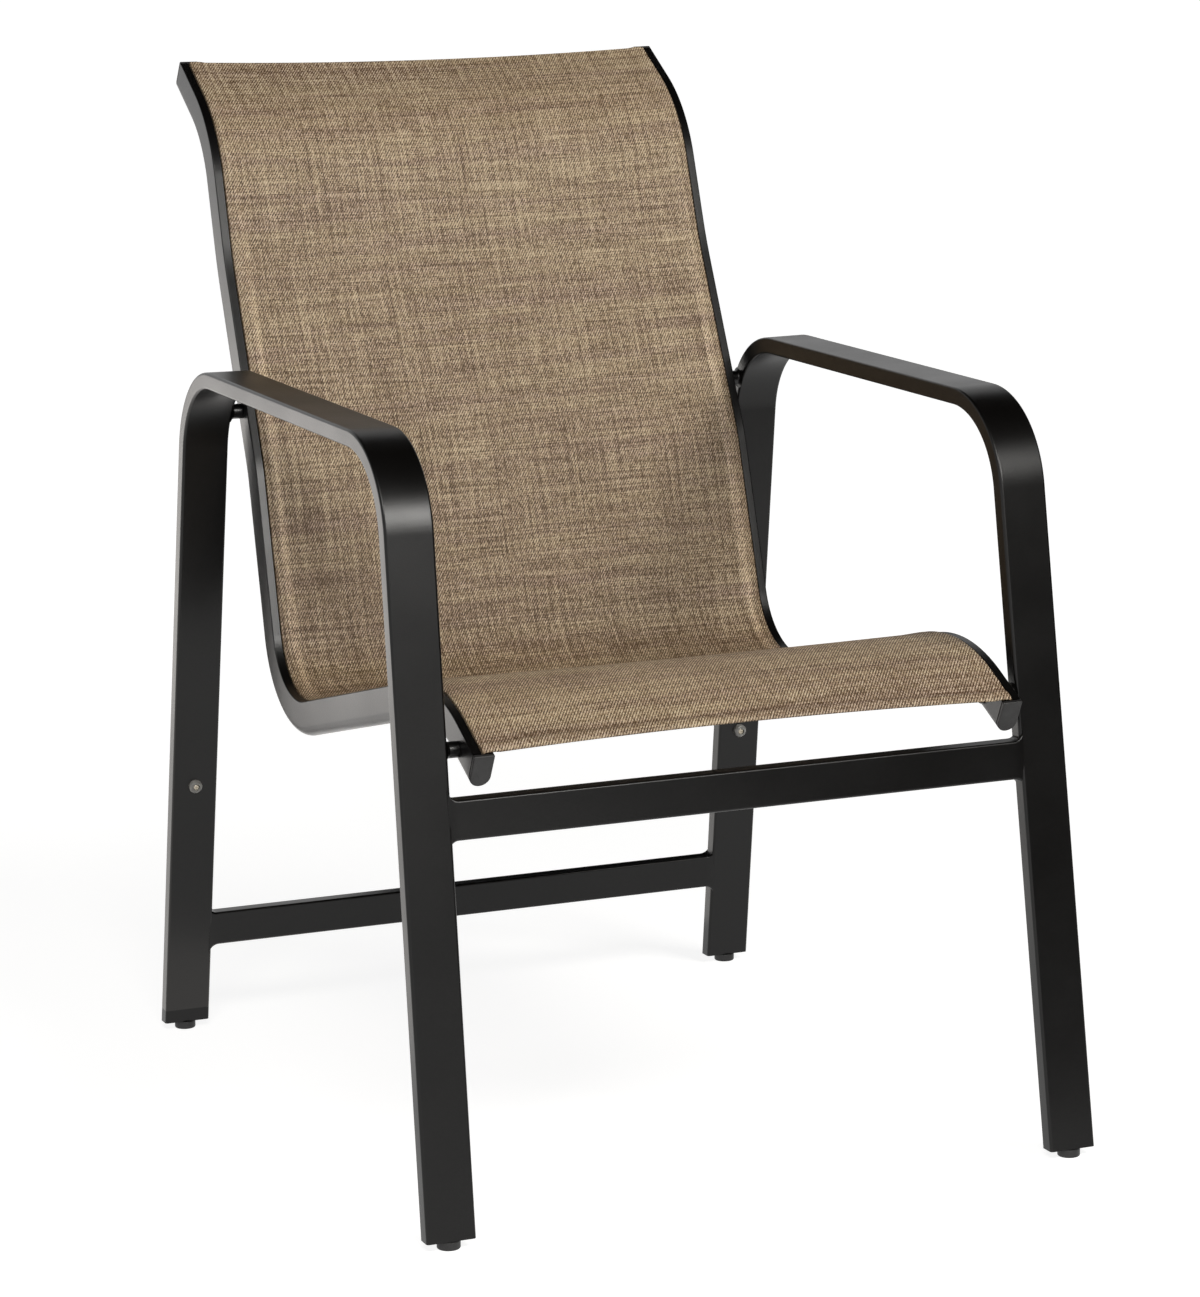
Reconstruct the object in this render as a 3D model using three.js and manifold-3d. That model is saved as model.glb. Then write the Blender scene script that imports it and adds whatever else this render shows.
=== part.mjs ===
// Stacking patio chair with a woven mesh sling, in millimetres, +Z up.
// The sitter looks along -Y. Left and right are as seen from in front of the chair, so left is -X.
// Two bent side frames are joined by welded stretchers. Two bent rails are bolted to bosses inside
// the side frames, and the sling's side hems are locked in the rails' grooves by plastic rods.
import * as THREE from "three";
import { mergeVertices } from "three/addons/utils/BufferGeometryUtils.js";
import Module from "manifold-3d";

// Clearance left between pieces that touch.
const GAP = 0.3;

// Side frame: one flat tube bent into front leg, arm and rear leg, in one leaning plane.
const BAR_WIDTH = 44; // across the chair
const BAR_THICK = 15.5; // in the plane of the frame
const BAR_WALL = 2;
const BAR_CORNER = 2.5;
const BEND_RADIUS = 84.2; // to the middle of the bar
const FRONT_FOOT = 7.8; // middle of the front leg, carried down to the floor
const FRONT_LEAN = 8.8; // degrees from upright
const REAR_FOOT = 721.7;
const REAR_LEAN = 8.46;
const ARM_HEIGHT = 652.3; // middle of the arm, carried forward to the front foot
const ARM_RISE = 0.25; // degrees
const LEG_END = 7.5; // the legs are cut level this far above the floor
const HALF_SPREAD = 292.2; // chair's middle to the frame's plane at the front foot
const LEAN_IN = 0.0123; // how far the plane leans in for each millimetre up
const TOE_IN = 0.0034; // and for each millimetre back

// Stretchers between the legs, with a weld at each end.
const STRETCHER = { thick: 16, wall: 1.6, corner: 3, weld: 7 };
const FRONT_STRETCHER = { top: 366.1, height: 34.3 };
const REAR_STRETCHER = { top: 116.9, height: 32 };

// Sling rail: its outer top edge runs from the front cap's face to the top cap's face.
const RAIL_START = [31.2, 406.9];
const RAIL_HEADING = 27; // degrees above +Y
const RAIL_RUNS = [
  { straight: 45 },
  { radius: 166, to: -14.3 },
  { straight: 277 },
  { radius: 69, to: 73.7 },
  { straight: 144 },
  { radius: 157, to: 65.5 },
  { straight: 172 },
  { radius: 315, to: 71.8 },
  { straight: 65 },
  { radius: 134.5, to: 31.7 },
  { straight: 53 },
];
const RAIL_OUTER = 33.2; // side frame's plane to the rail's outer face
const RAIL_WIDTH = 18.4;
const RAIL_DEPTH = 31.5;
const RAIL_WALL = 1.8;
const RAIL_CORNER = 1.2;
const GROOVE_INSET = 8.7; // rail's outer face to the middle of the groove
const GROOVE_DEPTH = 5.7; // rail's top to the middle of the groove
const GROOVE_RADIUS = 3.75;
const GROOVE_WALL = 1.5;
const SLOT_WIDTH = 2.2;

// End caps of the rails: a plate over the section and a lug in the hollow below the groove.
const FRONT_CAP = { thick: 4, edge: 1.2, lug: 14 };
const TOP_CAP = { thick: 2.6, edge: 0.8, lug: 14 };

// Sling, spline rods and their place in the groove.
const FABRIC = 0.9; // thickness
const FABRIC_LIFT = 0.95; // middle of the fabric above the rail's top
const SLING_SAG = 3; // at the middle, between the rails
const FRONT_DIP = 9.5; // how far the middle of the front edge lies back
const TOP_DIP = 6; // how far the middle of the top edge lies down
const HEM_RADIUS = 3.25; // outside of the pocket round the rod
const ROD_RADIUS = 2;

// Bosses between leg and rail, and the bolts through them, by their height above the floor.
const BOSS = { radius: 7, weld: 2.6, bore: 3.4 };
const FRONT_BOSS_HEIGHT = 406;
const REAR_BOSS_HEIGHT = 616;
const BOLT = { shank: 3, head: 6.5, headHeight: 3.6, socket: 2.3, socketDepth: 2, reach: 9 };

// Spreader bars: oval tubes that bow away from the sitter.
const SPREADER = { wide: 28, high: 12, wall: 1.5, straight: 34, depth: 16 };
const SEAT_SPREADER = { at: 210, bow: 12 };
const BACK_SPREADER = { at: 900, bow: 16 };
const SPREADER_PLUG = { flange: 2, spigot: 4, tenon: 18 };

// Feet: a plug in each leg and a glide under it.
const LEG_PLUG = 22; // length inside the leg
const GLIDE = { radius: 10, foot: 8.4, chamfer: 1.4, stem: 3, stemLength: 12 };

// Stack bumper on the front face of each rear leg.
const BUMPER = { height: 251, radius: 6.75, dome: 4.6, bore: 2.1, recess: 3.1, seat: 2 };
const SCREW = { head: 2.8, headHeight: 1.9, shank: 1.8, slot: 1.1, reach: 4.5 };

const COLOURS = {
  powderCoat: { color: 0x36322f, roughness: 0.42, metalness: 0.25 },
  nylon: { color: 0x191818, roughness: 0.55, metalness: 0 },
  mesh: { color: 0x9c8a70, roughness: 0.85, metalness: 0 },
  clearVinyl: { color: 0x9a9a95, roughness: 0.2, metalness: 0 },
  steel: { color: 0x8d8478, roughness: 0.35, metalness: 0.9 },
  rod: { color: 0x3d3b38, roughness: 0.5, metalness: 0 },
};

const wasm = await Module();
wasm.setup();
const rad = THREE.MathUtils.degToRad;

// Solids for cutting and joining

function asSolid(geometry) {
  const bare = geometry.clone();
  bare.deleteAttribute("normal");
  bare.deleteAttribute("uv");
  const merged = mergeVertices(bare, 1e-3);
  const index = merged.index.array;
  const kept = [];
  for (let i = 0; i < index.length; i += 3) {
    const [a, b, c] = index.subarray(i, i + 3);
    if (a !== b && b !== c && c !== a) kept.push(a, b, c);
  }
  return new wasm.Manifold(
    new wasm.Mesh({
      numProp: 3,
      vertProperties: merged.attributes.position.array,
      triVerts: new Uint32Array(kept),
    }),
  );
}

function asGeometry(solid) {
  const mesh = solid.getMesh();
  const geometry = new THREE.BufferGeometry();
  geometry.setAttribute("position", new THREE.BufferAttribute(mesh.vertProperties, 3));
  geometry.setIndex(new THREE.BufferAttribute(mesh.triVerts, 1));
  geometry.computeVertexNormals();
  return geometry;
}

function cut(geometry, tools) {
  let solid = asSolid(geometry);
  for (const tool of tools) solid = solid.subtract(asSolid(tool));
  return asGeometry(solid);
}

function join(geometry, addition) {
  return asGeometry(asSolid(geometry).add(asSolid(addition)));
}

// Lines and outlines

// A line in the plane x = 0 made of straights and arcs, measured along its length.
class PlaneLine {
  constructor(start, heading, runs) {
    this.parts = [];
    let here = { y: start[0], z: start[1], angle: rad(heading) };
    this.length = 0;
    for (const run of runs) {
      const turn = run.radius ? rad(run.to) - here.angle : 0;
      const length = run.radius ? run.radius * Math.abs(turn) : run.straight;
      this.parts.push({ ...here, from: this.length, length, turn });
      this.length += length;
      here = this.at(this.length);
    }
  }
  at(distance) {
    const part = this.parts.findLast((p) => p.from <= distance) ?? this.parts[0];
    const along = distance - part.from;
    const bend = part.turn / part.length;
    const angle = part.angle + bend * along;
    if (bend === 0) {
      return { y: part.y + along * Math.cos(angle), z: part.z + along * Math.sin(angle), angle };
    }
    const y = part.y + (Math.sin(angle) - Math.sin(part.angle)) / bend;
    const z = part.z - (Math.cos(angle) - Math.cos(part.angle)) / bend;
    return { y, z, angle };
  }
  // Places from one distance to another: the ends, where straights meet arcs, and steps on arcs.
  places(from, to, stepDegrees) {
    const distances = [from];
    for (const part of this.parts) {
      const steps = Math.max(1, Math.ceil(Math.abs(part.turn) / rad(stepDegrees)));
      for (let i = 0; i < steps; i++) {
        const distance = part.from + (part.length * i) / steps;
        if (distance > from + 1 && distance < to - 1) distances.push(distance);
      }
    }
    distances.push(to);
    return distances.map((distance) => this.at(distance));
  }
}

// A curve through hand-placed stations, so that straights take one step and bends take several.
class StationCurve extends THREE.Curve {
  constructor(points, tangents) {
    super();
    this.points = points;
    this.tangents = tangents;
  }
  getPoint(t, target = new THREE.Vector3()) {
    return target.copy(this.points[Math.round(t * (this.points.length - 1))]);
  }
  getPointAt(u, target) {
    return this.getPoint(u, target);
  }
  getTangentAt(u, target = new THREE.Vector3()) {
    return target.copy(this.tangents[Math.round(u * (this.points.length - 1))]);
  }
}

function arc(cx, cy, radius, fromDegrees, toDegrees, steps) {
  const points = [];
  for (let i = 0; i <= steps; i++) {
    const a = rad(fromDegrees + ((toDegrees - fromDegrees) * i) / steps);
    points.push(new THREE.Vector2(cx + radius * Math.cos(a), cy + radius * Math.sin(a)));
  }
  return points;
}

function circle(cx, cy, radius, sides) {
  return arc(cx, cy, radius, 0, 360 * (1 - 1 / sides), sides - 1);
}

function roundedRectangle(width, height, radius, steps) {
  const x = width / 2 - radius;
  const y = height / 2 - radius;
  return [
    ...arc(x, y, radius, 0, 90, steps),
    ...arc(-x, y, radius, 90, 180, steps),
    ...arc(-x, -y, radius, 180, 270, steps),
    ...arc(x, -y, radius, 270, 360, steps),
  ];
}

function shapeOf(outline, holes = []) {
  const shape = new THREE.Shape(outline);
  for (const hole of holes) shape.holes.push(new THREE.Path(hole));
  return shape;
}

// Sweeps a section along places in the plane x = 0. The section's x points to -X and its y to the
// left-hand side of the heading, which is up on an arm and forward on a front leg.
function sweep(shape, places) {
  const points = places.map((p) => new THREE.Vector3(0, p.y, p.z));
  const tangents = places.map((p) => new THREE.Vector3(0, Math.cos(p.angle), Math.sin(p.angle)));
  const extrudePath = new StationCurve(points, tangents);
  return new THREE.ExtrudeGeometry(shape, { steps: places.length - 1, extrudePath });
}

// The turn and shift that carries a section drawn in XY, with depth along Z, to a place.
function placeMatrix(place) {
  const heading = new THREE.Vector3(0, Math.cos(place.angle), Math.sin(place.angle));
  const up = new THREE.Vector3(0, -Math.sin(place.angle), Math.cos(place.angle));
  const matrix = new THREE.Matrix4().makeBasis(new THREE.Vector3(-1, 0, 0), up, heading);
  return matrix.setPosition(0, place.y, place.z);
}

// Slides the vertices that lie on the square end of a bar along the bar until they meet a plane.
function slideEnd(geometry, end, direction, plane) {
  const position = geometry.attributes.position;
  const p = new THREE.Vector3();
  for (let i = 0; i < position.count; i++) {
    p.fromBufferAttribute(position, i);
    if (Math.abs(p.clone().sub(end).dot(direction)) > 0.01) continue;
    p.addScaledVector(direction, -plane.distanceToPoint(p) / plane.normal.dot(direction));
    position.setXYZ(i, p.x, p.y, p.z);
  }
}

// A turned piece: the profile gives radius and distance along the axis, which starts at the origin
// and points to the sitter's side (inboard) on the right of the chair.
function turned(profile, sides) {
  const points = profile.map(([r, along]) => new THREE.Vector2(r, along));
  return new THREE.LatheGeometry(points, sides);
}

function inboard(geometry, y, z) {
  return geometry.rotateZ(Math.PI / 2).translate(0, y, z);
}

function drill(radius, from, to, y, z, sides) {
  const tool = new THREE.CylinderGeometry(radius, radius, to - from, sides);
  return inboard(tool.translate(0, (from + to) / 2, 0), y, z);
}

// Where things lie

const frontSlope = Math.tan(rad(FRONT_LEAN));
const rearSlope = Math.tan(rad(REAR_LEAN));
const armSlope = Math.tan(rad(ARM_RISE));
const frontLegAt = (z) => FRONT_FOOT + z * frontSlope;
const rearLegAt = (z) => REAR_FOOT - z * rearSlope;

// Middle line of the side frame's bar, from the front leg's end to the rear leg's end.
function frameLine() {
  const frontTop = (ARM_HEIGHT + FRONT_FOOT * armSlope) / (1 - frontSlope * armSlope);
  const rearTop = (ARM_HEIGHT + REAR_FOOT * armSlope) / (1 + rearSlope * armSlope);
  const frontTurn = 90 - FRONT_LEAN - ARM_RISE;
  const rearTurn = 90 - REAR_LEAN + ARM_RISE;
  const frontTangent = BEND_RADIUS * Math.tan(rad(frontTurn / 2));
  const rearTangent = BEND_RADIUS * Math.tan(rad(rearTurn / 2));
  const armLength = (rearLegAt(rearTop) - frontLegAt(frontTop)) / Math.cos(rad(ARM_RISE));
  const frontLeg = (frontTop - LEG_END) / Math.cos(rad(FRONT_LEAN));
  const rearLeg = (rearTop - LEG_END) / Math.cos(rad(REAR_LEAN));
  return new PlaneLine([frontLegAt(LEG_END), LEG_END], 90 - FRONT_LEAN, [
    { straight: frontLeg - frontTangent },
    { radius: BEND_RADIUS, to: ARM_RISE },
    { straight: armLength - frontTangent - rearTangent },
    { radius: BEND_RADIUS, to: REAR_LEAN - 90 },
    { straight: rearLeg - rearTangent },
  ]);
}

const frame = frameLine();
const rail = new PlaneLine(RAIL_START, RAIL_HEADING, RAIL_RUNS);
const railFrom = FRONT_CAP.thick + GAP;
const railTo = rail.length - TOP_CAP.thick - GAP;
const railPlaces = rail.places(railFrom, railTo, 11);

// A point on the rail, by its distance along the sling line and its depth below it.
function railPoint(distance, depth) {
  const place = rail.at(distance);
  const y = place.y + depth * Math.sin(place.angle);
  const z = place.z - depth * Math.cos(place.angle);
  return { y, z, angle: place.angle };
}

// Middle of the bar at a height: on the straight front leg, or in the rear bend.
const frontBoss = { y: frontLegAt(FRONT_BOSS_HEIGHT), z: FRONT_BOSS_HEIGHT };
const rearBend = frame.parts[3];
const rearBendCentre = {
  y: rearBend.y + BEND_RADIUS * Math.sin(rearBend.angle),
  z: rearBend.z - BEND_RADIUS * Math.cos(rearBend.angle),
};
const rearRise = REAR_BOSS_HEIGHT - rearBendCentre.z;
const rearBoss = {
  y: rearBendCentre.y + Math.sqrt(BEND_RADIUS ** 2 - rearRise ** 2),
  z: REAR_BOSS_HEIGHT,
};

// The right side frame's plane. The left one is its mirror image.
const sidePose = new THREE.Object3D();
sidePose.position.x = HALF_SPREAD;
sidePose.rotation.set(0, -Math.atan(LEAN_IN), Math.atan(TOE_IN));
sidePose.updateMatrix();
const sideToChair = sidePose.matrix;
const chairToSide = sideToChair.clone().invert();

// Side frame

function barSection() {
  const outer = roundedRectangle(BAR_WIDTH, BAR_THICK, BAR_CORNER, 2);
  const hollow = roundedRectangle(
    BAR_WIDTH - 2 * BAR_WALL,
    BAR_THICK - 2 * BAR_WALL,
    BAR_CORNER - 1,
    1,
  );
  return shapeOf(outer, [hollow]);
}

function legEndPlane() {
  const level = new THREE.Plane(new THREE.Vector3(0, 0, 1), -LEG_END);
  return level.applyMatrix4(chairToSide);
}

function levelLegEnd(geometry, place) {
  const end = new THREE.Vector3(0, place.y, place.z);
  const direction = new THREE.Vector3(0, Math.cos(place.angle), Math.sin(place.angle));
  slideEnd(geometry, end, direction, legEndPlane());
}

// Front face of the rear leg at the bumper, as a place that looks forward out of the bar.
const bumperPlace = (() => {
  const forward = rad(180 + REAR_LEAN);
  const y = rearLegAt(BUMPER.height) + (BAR_THICK / 2) * Math.cos(forward);
  const z = BUMPER.height + (BAR_THICK / 2) * Math.sin(forward);
  return { y, z, angle: forward };
})();

// Turns a piece that was turned about Y so that it stands out of the rear leg's front face.
function onBumperFace(geometry) {
  return geometry.rotateX(bumperPlace.angle).translate(0, bumperPlace.y, bumperPlace.z);
}

function sideFrame() {
  const bar = sweep(barSection(), frame.places(0, frame.length, 9));
  levelLegEnd(bar, frame.at(0));
  levelLegEnd(bar, frame.at(frame.length));
  const pilot = new THREE.CylinderGeometry(BUMPER.bore, BUMPER.bore, 3 * BAR_WALL, 8);
  return cut(bar, [onBumperFace(pilot)]);
}

// Stretchers

// A rectangular tube along X whose welds spread it up and down where it meets the legs.
function stretcher({ top, height }, legAt) {
  const middle = top - height / 2;
  const { thick, wall, corner, weld } = STRETCHER;
  const outer = roundedRectangle(height, thick, corner, 2);
  const hollow = roundedRectangle(height - 2 * wall, thick - 2 * wall, corner - wall, 1);
  const legFace = new THREE.Plane(new THREE.Vector3(1, 0, 0), BAR_WIDTH / 2 + GAP);
  legFace.applyMatrix4(sideToChair);
  const centre = new THREE.Vector3(0, legAt(middle), middle);
  const half = -legFace.distanceToPoint(centre) / legFace.normal.x;
  const xs = [0, 0.15, 0.45, 1].map((f) => half - f * weld);
  const stations = [...xs.map((x) => -x), ...xs.toReversed()];
  const points = stations.map((x) => new THREE.Vector3(x, centre.y, centre.z));
  const along = new THREE.Vector3(1, 0, 0);
  const extrudePath = new StationCurve(points, stations.map(() => along));
  const steps = stations.length - 1;
  const tube = new THREE.ExtrudeGeometry(shapeOf(outer, [hollow]), { steps, extrudePath });
  const position = tube.attributes.position;
  const onSkin = (across, size) => Math.abs(across) > size / 2 - wall + 0.01;
  for (let i = 0; i < position.count; i++) {
    const rise = position.getZ(i) - middle;
    const depth = position.getY(i) - centre.y;
    const nearness = 1 - (half - Math.abs(position.getX(i))) / weld;
    if (nearness <= 0 || Math.abs(rise) < height / 2 - corner - 0.01) continue;
    if (!onSkin(rise, height) && !onSkin(depth, thick)) continue;
    const spread = weld * (1 - Math.sqrt(1 - Math.min(1, nearness) ** 2));
    position.setZ(i, position.getZ(i) + Math.sign(rise) * spread);
  }
  slideEnd(tube, new THREE.Vector3(half, 0, 0), along, legFace);
  const leftFace = legFace.clone();
  leftFace.normal.x *= -1;
  slideEnd(tube, new THREE.Vector3(-half, 0, 0), along, leftFace);
  return tube;
}

// Sling rail: an extrusion with a keyhole groove for the fabric over a hollow. In its section x is
// the distance inboard of the side frame's plane and y is the height over the sling line.

const grooveAt = RAIL_OUTER + GROOVE_INSET;
const railMiddle = RAIL_OUTER + RAIL_WIDTH / 2;

function railOutline(inset) {
  const half = RAIL_WIDTH / 2 - inset;
  const corner = Math.max(0.4, RAIL_CORNER - inset);
  const foot = RAIL_WIDTH / 2 - RAIL_DEPTH;
  return {
    corner: [railMiddle + half - corner, -inset - corner, corner],
    bottom: arc(railMiddle, foot, half, 180, 360, 6),
    half,
  };
}

function railSection() {
  const outer = railOutline(0);
  const [, cornerY, corner] = outer.corner;
  const mouth = Math.asin(SLOT_WIDTH / 2 / GROOVE_RADIUS) * THREE.MathUtils.RAD2DEG;
  const outline = [
    ...outer.bottom,
    ...arc(railMiddle + outer.half - corner, cornerY, corner, 0, 90, 2),
    new THREE.Vector2(grooveAt + SLOT_WIDTH / 2, 0),
    ...arc(grooveAt, -GROOVE_DEPTH, GROOVE_RADIUS, 90 - mouth, -270 + mouth, 8),
    new THREE.Vector2(grooveAt - SLOT_WIDTH / 2, 0),
    ...arc(railMiddle - outer.half + corner, cornerY, corner, 90, 180, 2),
  ];
  const inner = railOutline(RAIL_WALL);
  const under = -RAIL_WALL;
  const ringRadius = GROOVE_RADIUS + GROOVE_WALL;
  const rise = GROOVE_DEPTH - RAIL_WALL;
  const lean = Math.asin(rise / ringRadius) * THREE.MathUtils.RAD2DEG;
  const hollow = [
    ...inner.bottom,
    new THREE.Vector2(railMiddle + inner.half, under),
    ...arc(grooveAt, -GROOVE_DEPTH, ringRadius, lean, -180 - lean, 6),
    new THREE.Vector2(railMiddle - inner.half, under),
  ];
  return shapeOf(outline, [hollow]);
}

const bossHoles = [frontBoss, rearBoss];
const spreaderHoles = [SEAT_SPREADER, BACK_SPREADER].map(({ at }) =>
  railPoint(at, SPREADER.depth),
);

function slingRail() {
  const extrusion = sweep(railSection(), railPlaces);
  const past = 5;
  const through = [RAIL_OUTER - past, RAIL_OUTER + RAIL_WIDTH + past];
  const tools = bossHoles.map(({ y, z }) => drill(BOSS.bore, ...through, y, z, 10));
  for (const { y, z } of spreaderHoles) {
    tools.push(drill(SPREADER_PLUG.spigot + GAP, railMiddle, through[1], y, z, 10));
  }
  return cut(extrusion, tools);
}

// A cap is a plate with the rail's outline, rounded at its rims, and a lug in the hollow under the
// groove. The plate starts at the place given, and the lug runs forward or back from it.
function railCap({ thick, edge, lug }, place, lugForward) {
  const outer = railOutline(0);
  const [, cornerY, corner] = outer.corner;
  const outline = [
    ...outer.bottom,
    ...arc(railMiddle + outer.half - corner, cornerY, corner, 0, 90, 2),
    ...arc(railMiddle - outer.half + corner, cornerY, corner, 90, 180, 2),
  ];
  const plate = new THREE.ExtrudeGeometry(shapeOf(outline), {
    depth: thick - 2 * edge,
    bevelThickness: edge,
    bevelSize: edge,
    bevelOffset: -edge,
    bevelSegments: 2,
    steps: 1,
  });
  plate.translate(0, 0, edge);
  const inner = railOutline(RAIL_WALL + GAP);
  const lugTop = -(GROOVE_DEPTH + GROOVE_RADIUS + GROOVE_WALL + GAP);
  const lugShape = shapeOf([
    ...inner.bottom,
    new THREE.Vector2(railMiddle + inner.half, lugTop),
    new THREE.Vector2(railMiddle - inner.half, lugTop),
  ]);
  const bar = new THREE.ExtrudeGeometry(lugShape, {
    depth: lug + thick / 2,
    bevelEnabled: false,
  });
  bar.translate(0, 0, lugForward ? thick / 2 : -lug);
  return join(plate, bar).applyMatrix4(placeMatrix(place));
}

// Bosses and their bolts

function boss({ y, z }) {
  const { radius, weld, bore } = BOSS;
  const legSide = BAR_WIDTH / 2 + GAP;
  const railSide = RAIL_OUTER - GAP;
  const profile = [
    [bore, legSide],
    [radius + weld, legSide],
    [radius + weld / 3, legSide + weld / 3],
    [radius, legSide + weld],
    [radius, railSide],
    [bore, railSide],
    [bore, legSide],
  ];
  return inboard(turned(profile, 14), y, z);
}

function railBolt({ y, z }) {
  const { shank, head, headHeight, socket, socketDepth, reach } = BOLT;
  const tip = RAIL_OUTER - reach;
  const seat = RAIL_OUTER + RAIL_WIDTH + GAP;
  const profile = [
    [0, tip],
    [shank - 0.6, tip],
    [shank, tip + 0.6],
    [shank, seat],
    [head, seat],
    [head, seat + headHeight / 4],
    [0.82 * head, seat + 0.75 * headHeight],
    [0.5 * head, seat + headHeight],
    [socket, seat + headHeight],
    [socket, seat + headHeight - socketDepth],
    [0, seat + headHeight - socketDepth],
  ];
  return inboard(turned(profile, 12), y, z);
}

// Sling and spline rods

function hemCircle(x, radius) {
  return circle(x, -GROOVE_DEPTH, radius, 8);
}

// The sheet from one slot to the other, with the pocket round each rod. Its section is drawn for
// one width, and the sheet is then fitted to the rails, which lean in.
function slingSection(half) {
  const middleAt = (x) => FABRIC_LIFT - SLING_SAG * (1 - (x / half) ** 2);
  const skin = FABRIC / 2;
  const neck = Math.asin(skin / HEM_RADIUS) * THREE.MathUtils.RAD2DEG;
  const steps = [0.45, 0.8];
  const rightSide = [
    ...steps.map((f) => new THREE.Vector2(f * half, middleAt(f * half) + skin)),
    new THREE.Vector2(half, FABRIC_LIFT + skin),
    new THREE.Vector2(half + skin, FABRIC_LIFT),
    ...arc(half, -GROOVE_DEPTH, HEM_RADIUS, 90 - neck, neck - 270, 6),
    new THREE.Vector2(half - skin, FABRIC_LIFT - skin),
    ...steps.toReversed().map((f) => new THREE.Vector2(f * half, middleAt(f * half) - skin)),
  ];
  const leftSide = rightSide.map((p) => new THREE.Vector2(-p.x, p.y)).reverse();
  const outline = [
    new THREE.Vector2(0, middleAt(0) + skin),
    ...rightSide,
    new THREE.Vector2(0, middleAt(0) - skin),
    ...leftSide,
  ];
  const pocket = HEM_RADIUS - FABRIC;
  return shapeOf(outline, [hemCircle(half, pocket), hemCircle(-half, pocket)]);
}

function sling() {
  const half = HALF_SPREAD - grooveAt - LEAN_IN * rail.at(rail.length / 2).z;
  const sheet = sweep(slingSection(half), railPlaces);
  const position = sheet.attributes.position;
  const first = railPlaces[0];
  const last = railPlaces[railPlaces.length - 1];
  const p = new THREE.Vector3();
  for (let i = 0; i < position.count; i++) {
    p.fromBufferAttribute(position, i);
    const across = p.x;
    const hollow = Math.max(0, 1 - (across / half) ** 2);
    for (const [place, dip] of [[first, FRONT_DIP], [last, -TOP_DIP]]) {
      const heading = new THREE.Vector3(0, Math.cos(place.angle), Math.sin(place.angle));
      const end = new THREE.Vector3(across, place.y, place.z);
      if (Math.abs(p.clone().sub(end).dot(heading)) < 0.01 && p.distanceTo(end) < 20) {
        p.addScaledVector(heading, dip * hollow);
      }
    }
    const groove = new THREE.Vector3(-grooveAt, p.y, p.z).applyMatrix4(sideToChair);
    position.setXYZ(i, (across / half) * groove.x, groove.y, groove.z);
  }
  return sheet;
}

function splineRod() {
  return sweep(shapeOf(hemCircle(grooveAt, ROD_RADIUS)), railPlaces);
}

// Spreader bars and their plugs

function oval(long, short, steps) {
  const middle = (long - short) / 2;
  return [
    ...arc(0, middle, short / 2, 0, 180, steps),
    ...arc(0, -middle, short / 2, 180, 360, steps),
  ];
}

function spreaderBar({ at, bow }) {
  const { wide, high, wall, straight, depth } = SPREADER;
  const place = railPoint(at, depth);
  const inner = RAIL_OUTER + RAIL_WIDTH + 2 * GAP + SPREADER_PLUG.flange;
  const end = new THREE.Vector3(-inner, place.y, place.z).applyMatrix4(sideToChair);
  const reach = end.x - straight;
  const steps = 8;
  const xs = [-end.x];
  for (let i = 0; i <= steps; i++) xs.push(reach * ((2 * i) / steps - 1));
  xs.push(end.x);
  const wave = (x) => (Math.PI * x) / reach;
  const bent = (x) => Math.abs(x) < reach - 0.01;
  const dropAt = (x) => (bent(x) ? (bow / 2) * (1 + Math.cos(wave(x))) : 0);
  const slopeAt = (x) => (bent(x) ? ((bow * Math.PI) / (2 * reach)) * Math.sin(wave(x)) : 0);
  const points = xs.map((x) => new THREE.Vector3(x, 0, -dropAt(x)));
  const tangents = xs.map((x) => new THREE.Vector3(1, 0, slopeAt(x)).normalize());
  const section = shapeOf(oval(wide, high, 4), [oval(wide - 2 * wall, high - 2 * wall, 4)]);
  const extrudePath = new StationCurve(points, tangents);
  const bar = new THREE.ExtrudeGeometry(section, { steps: xs.length - 1, extrudePath });
  return bar.rotateX(place.angle).translate(0, end.y, end.z);
}

function spreaderPlug({ at }) {
  const { wide, high, wall, depth } = SPREADER;
  const { flange, spigot, tenon } = SPREADER_PLUG;
  const seat = RAIL_OUTER + RAIL_WIDTH + GAP;
  const slack = 2 * (wall + GAP);
  const slice = (outline, from, to) => {
    const options = { depth: to - from, bevelEnabled: false };
    return new THREE.ExtrudeGeometry(shapeOf(outline), options).translate(0, 0, from);
  };
  const inRail = slice(circle(0, 0, spigot, 10), seat - 3 * RAIL_WALL, seat + flange / 2);
  const plate = slice(oval(wide, high, 4), seat, seat + flange);
  const inBar = slice(oval(wide - slack, high - slack, 4), seat + flange / 2, seat + tenon);
  const place = railPoint(at, depth);
  const heading = new THREE.Vector3(0, Math.cos(place.angle), Math.sin(place.angle));
  const up = new THREE.Vector3(0, -Math.sin(place.angle), Math.cos(place.angle));
  const matrix = new THREE.Matrix4().makeBasis(up, heading, new THREE.Vector3(-1, 0, 0));
  matrix.setPosition(0, place.y, place.z);
  return join(join(plate, inRail), inBar).applyMatrix4(matrix);
}

// Feet

function footOf(legAt) {
  return new THREE.Vector3(0, legAt(LEG_END), LEG_END).applyMatrix4(sideToChair);
}

function glide({ x, y }) {
  const { radius, foot, chamfer, stem, stemLength } = GLIDE;
  const top = LEG_END - GAP;
  const profile = [
    [0, 0],
    [foot, 0],
    [radius, chamfer],
    [radius, top - chamfer],
    [foot, top],
    [stem, top],
    [stem, top + stemLength - 1],
    [stem - 1, top + stemLength],
    [0, top + stemLength],
  ];
  return turned(profile, 16).rotateX(Math.PI / 2).translate(x, y, 0);
}

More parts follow.
